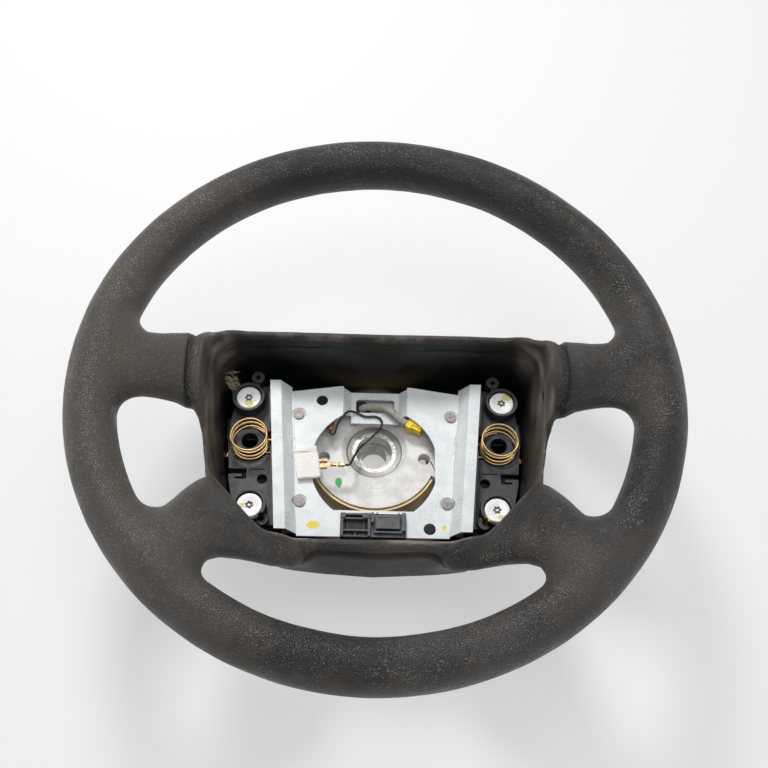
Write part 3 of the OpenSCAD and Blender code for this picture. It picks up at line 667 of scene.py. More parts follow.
def spoke_distance(u, v, z, widths):
    """Distance to a spoke along u, with v across it. Widths are rows of u and the reach to either side."""
    t = np.clip((u - SPOKE_ROOT_R) / (SPOKE_TIP_R - SPOKE_ROOT_R), 0, 1)
    rise = RIM_Z - 1 - LIP_Z
    height = LIP_Z + rise * (1 - (1 - t) ** 2.2)
    slope = rise * 2.2 * (1 - t) ** 1.2 / (SPOKE_TIP_R - SPOKE_ROOT_R)
    level = 1 / np.hypot(1, slope)
    flare = np.abs(2 * t - 1) ** 3
    places = [row[0] for row in widths]
    far_w, near_w = (np.interp(u, places, [row[side] for row in widths]) for side in (1, 2))
    lean = 1 / (1 + np.exp(-v / 4))
    half_w = near_w + (far_w - near_w) * lean
    half_t = np.hypot(8 * slope * level, (SPOKE_HALF_T + 1.5 * flare) * level)
    body = ellipse_distance(v, (z - height) * level, half_w, half_t)
    return smooth_max(smooth_max(body, SPOKE_ROOT_R - 8 - u, 6), u - SPOKE_TIP_R - 8, 6)


print("two walls that meet, joined softly by 6 mm:", round(float(smooth_min(0.0, 0.0, 6)), 2), "mm")

# %% [markdown]
# The bowl and the well are walls round an outline that changes with height. Every straight run of
# an outline is a plane with its own distance. Adding up their exponentials gives the largest of
# them, with the corners between the planes rounded off.

# %% Bowl, well and the whole foam
def side_outline(half_w, far_y, corner):
    """The part of an outline that the well and the bowl's outside share: their right and far sides."""
    return [(half_w - corner, CORNER_Y), (half_w - 6, SHOULDER_Y), (half_w, WIDEST_Y),
            (half_w, far_y - 12), (half_w - 14, far_y), (0, far_y)]


def well_outline(half_w, far_y, near_y, corner):
    """Right half of the well's outline, from six o'clock to twelve."""
    near = [(0, near_y), (half_w - corner - 26, near_y)]
    return np.array(near + side_outline(half_w, far_y, corner), float)


def bowl_outline(half_w, far_y, near_y, corner, bow):
    """Right half of the bowl's outside, whose near wall bows out a little."""
    near = [(0, near_y), (36, near_y + 0.16 * bow), (68, near_y + bow)]
    return np.array(near + side_outline(half_w, far_y, corner), float)


def tub_distance(x, y, z, levels, rounding):
    """Distance to a convex wall whose outline changes between levels, each (z, outline)."""
    heights = [level[0] for level in levels]
    total = np.zeros_like(x)
    for edge in range(len(levels[0][1]) - 1):
        (x0, y0), (x1, y1) = ([np.interp(z, heights, [outline[corner][axis] for _, outline in levels])
                               for axis in (0, 1)] for corner in (edge, edge + 1))
        dx, dy = x1 - x0, y1 - y0
        away = (dy * (x - x0) - dx * (y - y0)) / np.hypot(dx, dy)
        total += np.exp(np.clip(away / rounding, -40, 40))
    return rounding * np.log(total)


OUTER_LEVELS = [(BACK_Z, bowl_outline(FLOOR_W / 2 + 5, 59, -84, 10, 5)),
                (LIP_Z - 32, bowl_outline(MOUTH_W / 2 + 2, 64, -100.5, 14, 7.5)),
                (LIP_Z - 10, bowl_outline(MOUTH_W / 2 + 3, 66, -97, 14, 6.5)),
                (LIP_Z, bowl_outline(MOUTH_W / 2 + 2.5, 63.5, -93.5, 15, 5))]
WELL_LEVELS = [(FLOOR_Z, well_outline(FLOOR_W / 2, 54, -73, 11)),
               (FLOOR_Z + 24, well_outline(FLOOR_W / 2 + 1.5, 55, -74, 11)),
               (LIP_Z, well_outline(MOUTH_W / 2, 59, -86.5, 19)),
               (LIP_Z + 16, well_outline(MOUTH_W / 2, 59.5, -88.5, 19))]


def well_distance(x, y, z):
    return smooth_max(tub_distance(x, y, z, WELL_LEVELS, 2.0), FLOOR_Z - z, 6)


def foam_distance(points):
    x, y, z = np.abs(points[:, 0]), points[:, 1], points[:, 2]
    rim = ellipse_distance(np.hypot(x, y) - RIM_R, z - RIM_Z, GRIP_W / 2, GRIP_H / 2)
    within = np.hypot(x, y) - RIM_R + 3
    upper = smooth_max(spoke_distance(x, y - UPPER_Y, z, UPPER_WIDTHS), within, 8)
    c, s = math.cos(LOWER_ANGLE), math.sin(LOWER_ANGLE)
    lower = smooth_max(spoke_distance(x * c - y * s, x * s + y * c, z, LOWER_WIDTHS), within, 8)
    bowl = smooth_max(tub_distance(x, y, z, OUTER_LEVELS, 3.0), z - LIP_Z, 5)
    bowl = smooth_max(bowl, BACK_Z - z, 4)
    solid = smooth_min(smooth_min(upper, lower, 6), rim, 14)
    solid = smooth_min(solid, bowl, 12 + 0.25 * np.clip(-y - 58, 0, 22))
    cut = smooth_max(solid, -well_distance(x, y, z), 3)
    return smooth_max(cut, POT_HOLE_R - np.hypot(x, y), 1)


under_skin = foam_distance(np.array([[0.0, RIM_R + GRIP_W / 2 - 1, RIM_Z]]))[0]
print("distance 1 mm under the grip's outer side:", round(float(under_skin), 2), "mm")

# %% [markdown]
# A field becomes a mesh by surface nets: the space is cut into small cubes, each cube that the
# surface passes through gets one vertex, and neighbouring cubes share a four-sided face. The
# vertices are then moved along the field's slope until they lie on the surface to a hundredth
# of a millimetre, which keeps the curves smooth.

# %% Surface nets
def field_on_grid(distance, low, high, step):
    axes = [np.arange(a, b + step, step) for a, b in zip(low, high)]
    values = np.empty([len(axis) for axis in axes], np.float32)
    gx, gy = np.meshgrid(axes[0], axes[1], indexing="ij")
    for k, z in enumerate(axes[2]):
        layer = np.stack([gx.ravel(), gy.ravel(), np.full(gx.size, z)], 1)
        values[:, :, k] = distance(layer).reshape(gx.shape)
    return values


def surface_net(values, low, step):
    """Vertices and outward quads of the surface where the values cross zero."""
    shape = np.array(values.shape) - 1
    corner_sets = list(itertools.product((0, 1), repeat=3))
    corner = {c: values[tuple(slice(a, a + n) for a, n in zip(c, shape))] for c in corner_sets}
    inside = sum((corner[c] < 0).astype(np.int8) for c in corner_sets)
    cells = np.argwhere((inside > 0) & (inside < 8))
    index = np.full(shape, -1, np.int32)
    index[tuple(cells.T)] = np.arange(len(cells))
    total = np.zeros((len(cells), 3))
    count = np.zeros(len(cells))
    at = tuple(cells.T)
    for a, b in itertools.combinations(corner_sets, 2):
        if sum(abs(i - j) for i, j in zip(a, b)) != 1:
            continue
        va, vb = corner[a][at], corner[b][at]
        crossing = (va < 0) != (vb < 0)
        t = va[crossing] / (va[crossing] - vb[crossing])
        total[crossing] += np.array(a) + t[:, None] * (np.array(b) - np.array(a))
        count[crossing] += 1
    vertices = (cells + total / count[:, None]) * step + np.array(low)
    faces = []
    for axis in range(3):
        first, second = [(1, 2), (2, 0), (0, 1)][axis]
        start = np.take(values, range(shape[axis]), axis)
        end = np.take(values, range(1, shape[axis] + 1), axis)
        edges = np.argwhere((start < 0) != (end < 0))
        keep = (edges[:, first] > 0) & (edges[:, second] > 0)
        keep &= (edges[:, first] < shape[first]) & (edges[:, second] < shape[second])
        edges = edges[keep]
        ring = []
        for da, db in ((0, 0), (-1, 0), (-1, -1), (0, -1)):
            cell = edges.copy()
            cell[:, first] += da
            cell[:, second] += db
            ring.append(index[tuple(cell.T)])
        quads = np.stack(ring, 1)
        leaving = start[tuple(edges.T)] < 0
        quads[~leaving] = quads[~leaving][:, ::-1]
        faces.append(quads)
    return vertices, np.vstack(faces)


SLOPE_REACH = 0.05


def slope_of(distance, points):
    grown = []
    for axis in range(3):
        shift = np.zeros(3)
        shift[axis] = SLOPE_REACH
        grown.append((distance(points + shift) - distance(points - shift)) / (2 * SLOPE_REACH))
    return np.stack(grown, 1)


def settle(distance, points, rounds):
    """Moves points along the slope until the distance is zero."""
    for _ in range(rounds):
        slope = slope_of(distance, points)
        size = np.maximum((slope ** 2).sum(1), 0.05)
        points = points - np.clip(distance(points), -1.5, 1.5)[:, None] * slope / size[:, None]
    return points


def ball(points):
    return np.linalg.norm(points, axis=1) - 5


ball_low = np.full(3, -7.0)
ball_points, ball_faces = surface_net(field_on_grid(ball, ball_low, -ball_low, 1.0), ball_low, 1.0)
ball_error = np.abs(ball(settle(ball, ball_points, 3))).max()
print("a ball of 5 mm gets", len(ball_faces), "faces, off by", round(float(ball_error), 5), "mm")

# %% [markdown]
# The skin of a used wheel isn't even. Hands have polished the rim, and the bowl's edge has
# hardened and folded: a welt runs along the well's top edge on each side, with grooves beside
# it. These folds are moved into the mesh along its own slope, because their shadows are what
# the eye sees. The same step stores masks on the vertices, so that the material knows where
# the inside of the well starts, which is painted almost black, partly as painted shade, where
# the edges have worn, and where the grooves and crease lines get painted shade.

# %% Foam skin
FOAM_STEP = 1.9


def step_between(value, low, high):
    t = np.clip((value - low) / (high - low), 0, 1)
    return t * t * (3 - 2 * t)


def hump(value, centre, width):
    return np.exp(-((value - centre) / width) ** 2)


def slow_noise(points, size, seed):
    """Smooth noise from -1 to 1 over lengths of about size, at each point."""
    shift = Vector((seed * 7.3, seed * 3.1, seed * 5.7))
    return np.array([noise.noise(Vector(point) / size + shift) for point in points])


def fold_the_skin(points):
    """Depth of folds, welts and dents at each point, and the masks that go with them."""
    x, y, z = np.abs(points[:, 0]), points[:, 1], points[:, 2]
    edge = well_distance(x, y, z)
    wander = slow_noise(points * (1, 0.35, 1), 22, 1)
    on_side = step_between(x, 94, 104) * step_between(y, -64, -50) * step_between(-y, -66, -56)
    on_top = step_between(z, LIP_Z - 14, LIP_Z - 4) * step_between(edge, -0.6, 0.8)
    top_side = on_side * on_top
    by_spoke = step_between(y, -14, 0)
    welt = hump(edge, 2.2, 1.6) * 1.1
    groove = hump(edge + wander * 1.5, 6.8, 1.9) * (2.6 * by_spoke + 0.5)
    line_a = hump(edge + wander * 1.1, 1.8, 0.55) * 0.8 * (1 - by_spoke)
    line_b = hump(edge - wander * 0.9, 4.0, 0.6) * 0.9 * (1 - by_spoke)
    near_corner = step_between(-y, 52, 60) * step_between(x, 62, 74)
    line_c = hump(edge + wander, 2.4, 0.9) * near_corner
    height = top_side * (welt * by_spoke - groove - line_a - line_b) - on_top * line_c * 0.7
    inner = on_side * step_between(-edge, -1.2, -0.2)
    inner = inner * step_between(z, 52, 70) * step_between(-z, -LIP_Z - 14, -LIP_Z)
    height += inner * 0.55 * np.sin((z - 0.28 * y) / 2.6 + 2.5 * wander)
    far_wall = step_between(y, 48, 54) * step_between(-edge, -1.5, -0.3)
    far_wall = far_wall * step_between(-z, -LIP_Z, -LIP_Z + 3)
    height -= far_wall * (hump(z + 3 * wander, 74, 1.3) * 0.9 + hump(z, 81, 1.2) * 0.5)
    near_wall = step_between(-y, 84, 90) * step_between(-x, -92, -84)
    height -= near_wall * hump(z + 0.5 * wander, LIP_Z - 6, 1.6) * 1.7
    height += slow_noise(points, 30, 2) * 0.35 + slow_noise(points, 9, 3) * 0.12
    inside = step_between(-np.abs(edge), -2.4, -0.9) * step_between(-z, -LIP_Z - 12, -LIP_Z + 3)
    side_wall = on_side * inside * step_between(z, 48, 84)
    brow = step_between(-np.abs(edge - 0.6), -2.2, -0.6) * step_between(z, LIP_Z - 7, LIP_Z - 2)
    near_lip = near_wall * hump(z + 0.5 * wander, LIP_Z - 6, 1.9)
    # Where the grooves and crease lines lie, for the painted shade put in them.
    creases = np.clip(top_side * (groove * 0.8 + line_a + line_b) + on_top * line_c + near_lip, 0, 1)
    return height, {"inside": inside, "side_wall": side_wall, "brow": brow, "creases": creases}


grid_low = foam_low - 3
field = field_on_grid(foam_distance, grid_low, foam_high + 3, FOAM_STEP)
foam_points, foam_faces = surface_net(field, grid_low, FOAM_STEP)
foam_points = settle(foam_distance, foam_points, 3)
foam_slope = slope_of(foam_distance, foam_points)
foam_slope /= np.maximum(np.linalg.norm(foam_slope, axis=1), 0.1)[:, None]
fold_height, foam_masks = fold_the_skin(foam_points)
foam_skin = new_piece("foam_skin", (foam_points + fold_height[:, None] * foam_slope) * MM, foam_faces)
for label, values in foam_masks.items():
    layer = foam_skin.data.attributes.new(label, "FLOAT", "POINT")
    layer.data.foreach_set("value", values.astype(np.float32))
print("foam skin:", len(foam_faces), "faces")
print("folds in mm:", round(fold_height.min(), 2), "to", round(fold_height.max(), 2))
finish_piece(foam_skin, "foam", "foam_cover")

# %% [markdown]
# The foam's finish: a dark brown-grey skin with a fine moulded grain. Hands have rubbed parts
# of it shiny, and dirt has dried brown on others. Below the lip the well's inside is smooth and
# painted almost black, partly a darker skin and partly painted shade; its side walls stay brown.
# The masks stored on the mesh choose between the two, and pale scuffs lie along the edges.
# Painted shade also darkens the grooves and crease lines, and the bowl's near outer wall.

# %% Foam finish
def mask_of(tree, name):
    return add(tree, "ShaderNodeAttribute", attribute_name=name).outputs["Fac"]


def foam_material():
    material, tree, shader = new_material("worn foam skin")
    inside, side_wall = mask_of(tree, "inside"), mask_of(tree, "side_wall")
    brow, creases = mask_of(tree, "brow"), mask_of(tree, "creases")
    grain = use_group(tree, GRAIN, Size=0.0013)
    coarse = noise_at(tree, 760.0, 3.0, 0.75)["Fac"]
    cloud = use_group(tree, PATCHES, Size=0.07, Low=0.38, High=0.64, Detail=8.0)["Mask"]
    dirt = use_group(tree, PATCHES, Size=0.03, Low=0.46, High=0.7, Detail=12.0)["Mask"]
    rubbed = use_group(tree, PATCHES, Size=0.04, Low=0.44, High=0.6, Detail=12.0)["Mask"]
    specks = use_group(tree, GRIT, Size=0.0019, Amount=0.3)["Mask"]
    left = remap(tree, coordinate(tree, "X"), -60.0, -150.0)
    top = remap(tree, coordinate(tree, "Y"), 110.0, 165.0)
    # Painted shade on the bowl's near outer wall, below the lip.
    front_wall_shade = times(tree, remap(tree, coordinate(tree, "Y"), -80.0, -94.0),
                 times(tree, remap(tree, coordinate(tree, "Z"), 90.0, 66.0),
                      remap(tree, axis_distance(tree), 146.0, 112.0)))
    outside = minus(tree, 1.0, times(tree, inside, 0.92))
    skin = mix_colour(tree, cloud, srgb(40, 39, 39), srgb(74, 70, 67))
    skin = tinted(tree, skin, left, 0.6, srgb(98, 91, 85))
    skin = tinted(tree, skin, dirt, 0.5, srgb(92, 79, 67))
    skin = tinted(tree, skin, top, 0.75, srgb(40, 39, 38))
    skin = tinted(tree, skin, grain["Pits"], 0.16, srgb(36, 33, 31))
    flecks = times(tree, remap(tree, coarse, 0.58, 0.72), rubbed)
    skin = tinted(tree, skin, flecks, 0.55, srgb(158, 152, 144))
    # Painted shade: the bowl's near outer wall is made almost black.
    skin = tinted(tree, skin, front_wall_shade, 0.8, srgb(26, 26, 26))
    well = mix_colour(tree, dirt, srgb(80, 73, 67), srgb(112, 103, 94))
    # Painted shade: below the lip the well is made almost black, except on its side walls.
    well = mix_colour(tree, side_wall, srgb(9, 12, 13), well)
    colour = mix_colour(tree, inside, skin, well)
    scuff = times(tree, brow, plus(tree, 0.15, times(tree, rubbed, 0.6)))
    colour = mix_colour(tree, scuff, colour, srgb(142, 132, 124))
    # Painted shade in the grooves and crease lines.
    colour = tinted(tree, colour, creases, 0.75, srgb(20, 18, 17))
    colour = mix_colour(tree, times(tree, specks, times(tree, outside, 0.5)), colour, srgb(150, 142, 130))
    rough = minus(tree, 0.38, times(tree, rubbed, 0.12))
    rough = plus(tree, rough, times(tree, dirt, 0.1))
    rough = plus(tree, rough, times(tree, grain["Pits"], 0.1))
    relief = plus(tree, grain["Height"], times(tree, coarse, 0.7))
    normal = bump(tree, times(tree, relief, outside), 0.0004)
    feed(tree, shader, Base_Color=colour, Roughness=rough, Normal=normal)
    return material


foam_skin.data.materials.append(foam_material())
print("foam finish:", foam_skin.data.materials[0].name)

# %% [markdown]
# Metal, paint and plastic differ less than one might think: each has a tone that drifts over
# patches, specks of dirt, a fine relief, and edges that have worn. Small helpers add one of
# these at a time, so that every finish below reads as a short list of what is on it.

# %% Helpers for finishes
def edge_wear_group():
    tree, given, out = open_group("edge wear", [("Width", FLOAT, 0.0005)], [("Mask", FLOAT)])
    rounded = add(tree, "ShaderNodeBevel", {"Radius": given["Width"]}, samples=4).outputs[0]
    face = tree.nodes.new("ShaderNodeNewGeometry").outputs["Normal"]
    agree = vector_calc(tree, "DOT_PRODUCT", rounded, face)["Value"]
    tree.links.new(remap(tree, minus(tree, 1.0, agree), 0.03, 0.2), out["Mask"])
    return tree


EDGE_WEAR = edge_wear_group()


def cloudy(tree, first, second, size, low=0.4, high=0.62):
    """Colour that drifts between two tones over patches of a size in millimetres."""
    mask = use_group(tree, PATCHES, Size=size * MM, Low=low, High=high, Detail=5.0)["Mask"]
    return mix_colour(tree, mask, first, second)


def speckled(tree, colour, speck, size, amount, strength):
    mask = use_group(tree, GRIT, Size=size * MM, Amount=amount)["Mask"]
    return tinted(tree, colour, mask, strength, speck)


def dabbed(tree, colour, paint, dabs):
    """Adds dabs of paint, each (x, y, radius, stretch along x, raggedness), at any height."""
    for x, y, radius, stretch, ragged in dabs:
        mask = use_group(tree, BLOB, Centre=(x * MM, y * MM, 0), Stretch=(1 / stretch, 1, 0),
                         Radius=radius * MM, Ragged=ragged)["Mask"]
        colour = mix_colour(tree, mask, colour, paint)
    return colour


def worn(tree, colour, bare, width, strength):
    mask = use_group(tree, EDGE_WEAR, Width=width * MM)["Mask"]
    return tinted(tree, colour, mask, strength, bare)


def between(tree, value, low, high, soft):
    rise = remap(tree, value, low - soft, low + soft)
    return times(tree, rise, remap(tree, value, high + soft, high - soft))


def fine_noise(tree, size, detail=3.0):
    return noise_at(tree, 1 / (size * MM), detail)["Fac"]


print("finish helpers ready, shared groups:", len([g for g in bpy.data.node_groups if g.type == "SHADER"]))

# %% [markdown]
# The skeleton is one light-metal casting. Its skin is pale and slightly speckled, and only the
# bolt's seat in the middle was turned bright on a lathe: a ring mask round the axis puts fine
# circles there. A dab of green marks it as checked.

# %% Cast alloy
GREEN_DABS = [(-24.2, -25.3, 3.2, 0.75, 0.35), (-23.8, -28.6, 1.1, 0.8, 0.4)]
SEAT_EDGES = (12.6, 19.6)
SEAT_RIM_EDGES = (15.4, 19.6)


def cast_finish():
    material, tree, shader = new_material("cast alloy")
    colour = cloudy(tree, srgb(214, 212, 209), srgb(234, 232, 229), 12)
    colour = speckled(tree, colour, srgb(132, 126, 118), 1.1, 0.24, 0.7)
    # Painted shade: the casting's wings beyond 60 mm to either side, under the carriers' edges, are made
    # almost black.
    wing_shade = remap(tree, calc(tree, "ABSOLUTE", coordinate(tree, "X")), 60.0, 62.0)
    colour = mix_colour(tree, wing_shade, colour, srgb(26, 27, 28))
    away = axis_distance(tree)
    low = remap(tree, coordinate(tree, "Z"), 34.9, 34.6)
    seat = times(tree, between(tree, away, *SEAT_EDGES, 0.1), low)
    rim = times(tree, between(tree, away, *SEAT_RIM_EDGES, 0.35), low)
    circles = calc(tree, "SINE", times(tree, away, 21.0))
    bright = cloudy(tree, srgb(164, 162, 158), srgb(218, 216, 212), 2.2, 0.44, 0.56)
    colour = mix_colour(tree, seat, colour, bright)
    waves = remap(tree, circles, -1.0, 1.0, 0.0, 0.5)
    dull = mix_colour(tree, waves, srgb(124, 122, 118), srgb(166, 163, 158))
    colour = mix_colour(tree, rim, colour, dull)
    scribed = times(tree, between(tree, away, 29.6, 29.8, 0.06),
                   use_group(tree, PATCHES, Size=0.02, Low=0.5, High=0.56, Detail=2.0)["Mask"])
    colour = tinted(tree, colour, scribed, 0.6, srgb(120, 117, 112))
    colour = dabbed(tree, colour, srgb(58, 172, 88), GREEN_DABS)
    relief = plus(tree, fine_noise(tree, 0.5), times(tree, circles, times(tree, seat, 0.3)))
    feed(tree, shader, Base_Color=colour, Roughness=remap(tree, seat, 0.0, 1.0, 0.62, 0.36),
         Metallic=times(tree, seat, 0.75), Normal=bump(tree, relief, 0.00005))
    return material


print("cast alloy: turned seat from", *SEAT_EDGES, "mm off the axis,", len(GREEN_DABS), "green dabs")

# %% [markdown]
# Yellow passivation is a thin film on plain steel whose tone wanders over straw and gold. It is
# bright on the springs and the clips. The pot below the plate gets a pale, hardly metallic gold:
# painted reflection, so that its wall stays bright in the plate's shade. Copper and brass parts
# are bare and have gone dull in patches, and zinc stays cold and bright, with painted shade in
# the screws' recesses and on the sides of their heads.

# %% Bare and plated metal
def metal_finish(name, first, second, patch, rough, metallic, dabs=(), dirt=0.5, relief=0.00002):
    material, tree, shader = new_material(name)
    colour = cloudy(tree, first, second, patch, 0.38, 0.64)
    colour = speckled(tree, colour, tuple(c * 0.35 for c in second), 1.0, 0.18, dirt)
    shine = remap(tree, fine_noise(tree, patch * 0.6), 0.3, 0.7, rough - 0.08, rough + 0.12)
    metal = metallic
    if dabs:
        # Painted shade: below 50 mm, in the recess and on the side of the head, the screw is darkened.
        sunk_shade = remap(tree, coordinate(tree, "Z"), 50.0, 49.5)
        colour = tinted(tree, colour, sunk_shade, 0.8, srgb(52, 52, 50))
        colour = dabbed(tree, colour, srgb(222, 212, 132), dabs)
        hues = add(tree, "ShaderNodeSeparateColor", {0: colour}, mode="HSV")
        metal = remap(tree, hues.outputs[1], 0.35, 0.12, 0.0, metallic)
    feed(tree, shader, Base_Color=colour, Roughness=shine, Metallic=metal,
         Normal=bump(tree, fine_noise(tree, 0.35), relief))
    return material


RIVETS = [(53.2, 19.9), (49.4, -45.7)]
SCREW_SMEARS = [(-88.4, 26.2, 2.3, 1.5, 0.7), (92.8, 35.6, 2.6, 1.2, 0.8), (-87.2, -50.4, 1.7, 1.0, 0.6),
                (84.8, -54.6, 1.5, 1.6, 0.7)]
YELLOW_PAINT = srgb(226, 206, 60)


def clip_finish():
    """Spring wire that is bright where it sticks out and painted almost black round the pin's bore, as
    painted shade.
    """
    material, tree, shader = new_material("clip wire with painted bore shade")
    side = calc(tree, "ABSOLUTE", coordinate(tree, "X"))
    # Painted shade: the wire is made almost black where it runs round the pin's bore.
    bore_shade = between(tree, side, 77.5, 94.0, 1.0)
    bright = cloudy(tree, srgb(232, 196, 150), srgb(204, 160, 120), 3)
    colour = mix_colour(tree, bore_shade, bright, srgb(14, 13, 12))
    feed(tree, shader, Base_Color=colour, Roughness=remap(tree, bore_shade, 0.0, 1.0, 0.32, 0.6),
         Metallic=remap(tree, bore_shade, 0.0, 1.0, 0.7, 0.0), Normal=bump(tree, fine_noise(tree, 0.4), 0.00002))
    return material


def rivet_finish():
    """Rivet with a bare copper core in a grey painted ring."""
    material, tree, shader = new_material("painted rivet with a copper core")
    colour = cloudy(tree, srgb(128, 130, 130), srgb(160, 162, 162), 1.4)
    core = None
    for x, y in RIVETS:
        for turn in (-1, 1):
            near = remap(tree, axis_distance(tree, turn * x, y), 1.5, 1.1)
            core = near if core is None else calc(tree, "MAXIMUM", core, near)
    colour = mix_colour(tree, core, colour, cloudy(tree, srgb(176, 118, 100), srgb(116, 78, 68), 0.7))
    feed(tree, shader, Base_Color=colour, Roughness=0.42, Metallic=times(tree, core, 0.6),
         Normal=bump(tree, fine_noise(tree, 0.5), 0.00008))
    return material


print("metal: rivets on each side", len(RIVETS), "and paint smears on screws", len(SCREW_SMEARS))

# %% [markdown]
# The bracket is pressed steel under light grey paint. Grit has stuck to the foot of its slopes,
# each rivet's dimple gets a darker ring of painted shade, and two marks of yellow paint sit on
# its lower corners.

# %% Grey paint
BRACKET_DABS = [(-39.7, -62.3, 2.9, 1.5, 0.9), (47.1, -62.4, 1.5, 1.1, 0.25)]


def paint_finish():
    material, tree, shader = new_material("light grey paint")
    colour = cloudy(tree, srgb(214, 219, 221), srgb(226, 230, 231), 16)
    side = calc(tree, "ABSOLUTE", coordinate(tree, "X"))
    foot = between(tree, side, 53.4, 57.6, 1.2)
    grime = times(tree, foot, use_group(tree, GRIT, Size=0.0015, Amount=0.3)["Mask"])
    colour = tinted(tree, colour, grime, 0.75, srgb(112, 104, 94))
    colour = speckled(tree, colour, srgb(126, 120, 112), 2.2, 0.2, 0.65)
    for x, y in RIVETS:
        for turn in (-1, 1):
            # Painted shade: a darker ring in each rivet's dimple.
            ring = between(tree, axis_distance(tree, turn * x, y), 1.6, 4.4, 0.5)
            colour = tinted(tree, colour, ring, 0.75, srgb(136, 138, 138))
    colour = dabbed(tree, colour, YELLOW_PAINT, BRACKET_DABS)
    colour = worn(tree, colour, srgb(168, 168, 164), 0.3, 0.5)
    relief = plus(tree, fine_noise(tree, 0.9, 2.0), times(tree, grime, 0.8))
    feed(tree, shader, Base_Color=colour, Roughness=remap(tree, fine_noise(tree, 6), 0.3, 0.7, 0.36, 0.5),
         Normal=bump(tree, relief, 0.00006))
    return material


print("grey paint: yellow marks", len(BRACKET_DABS))

# %% [markdown]
# The carriers and the sockets are moulded plastic. A die leaves a fine even grain, moulded
# edges wear paler first, and dust settles in the corners. One function with its own tones
# serves the dark carriers, the greyer sockets, the black bushes and the yellow plug.

# %% Moulded plastic
def plastic_finish(name, first, second, edge, grain=0.5, rough=0.55, dust=0.3, dabs=(), dab_colour=None):
    material, tree, shader = new_material(name)
    colour = cloudy(tree, first, second, 7)
    colour = speckled(tree, colour, srgb(150, 148, 144), 1.4, dust * 0.6, 0.5)
    colour = worn(tree, colour, edge, 0.45, 0.75)
    if dabs:
        colour = dabbed(tree, colour, dab_colour, dabs)
    relief = plus(tree, use_group(tree, GRAIN, Size=grain * MM)["Height"], fine_noise(tree, 2.5))
    dullness = remap(tree, fine_noise(tree, 4), 0.3, 0.7, rough - 0.08, rough + 0.08)
    feed(tree, shader, Base_Color=colour, Roughness=dullness, Normal=bump(tree, relief, 0.00003))
    return material


CARRIER_SMEARS = [(78.6, -56.2, 2.2, 2.0, 0.9), (-96.8, -8.2, 0.7, 1.5, 0.6)]
print("moulded plastic: paint smears on the carriers", len(CARRIER_SMEARS))

# %% [markdown]
# Woven things show their threads. The sleeve's braid runs on the UV map that the tube carries:
# two sets of threads cross at a slant, and the product of two sine waves is the bumps that
# they make. The white wrap is a finer cloth, so two plain waves on its own coordinates do.

# %% Braid and cloth
BRAID_PITCH = 1.1 * MM
CLOTH_PITCH_MM = 0.55


def sleeve_finish():
    material, tree, shader = new_material("braided sleeve")
    run = add(tree, "ShaderNodeSeparateXYZ", {0: add(tree, "ShaderNodeUVMap", uv_map="run").outputs[0]})
    along, across = (times(tree, run.outputs[axis], 2 * math.pi / BRAID_PITCH) for axis in ("X", "Y"))
    threads = times(tree, calc(tree, "SINE", plus(tree, along, across)),
                   calc(tree, "SINE", minus(tree, along, across)))
    colour = mix_colour(tree, remap(tree, threads, -0.7, 0.6), srgb(156, 151, 140), srgb(222, 218, 206))
    dirt = use_group(tree, PATCHES, Size=0.006, Low=0.45, High=0.65, Detail=5.0)["Mask"]
    colour = tinted(tree, colour, dirt, 0.45, srgb(128, 122, 110))
    feed(tree, shader, Base_Color=colour, Roughness=0.75, Normal=bump(tree, threads, 0.00018))
    return material


def wrap_finish():
    material, tree, shader = new_material("white cloth wrap")
    waves = [calc(tree, "SINE", times(tree, coordinate(tree, axis), 2 * math.pi / CLOTH_PITCH_MM))
             for axis in ("X", "Y")]
    weave = times(tree, *waves)
    colour = cloudy(tree, srgb(252, 249, 244), srgb(245, 240, 232), 5)
    # Painted shade along the wrap's top fold.
    fold = between(tree, coordinate(tree, "Y"), -10.9, -10.3, 0.5)
    colour = tinted(tree, colour, fold, 0.7, srgb(150, 142, 132))
    relief = plus(tree, times(tree, weave, 0.5), fine_noise(tree, 1.6))
    feed(tree, shader, Base_Color=colour, Roughness=0.85, Normal=bump(tree, relief, 0.00012))
    return material


print("braid: threads along 10 mm of sleeve", round(10 * MM / BRAID_PITCH, 1))

# %% [markdown]
# The list of finishes gives each slot its material. Two tones and a few sizes are enough to tell
# one metal or plastic from another, because the helpers do the rest.

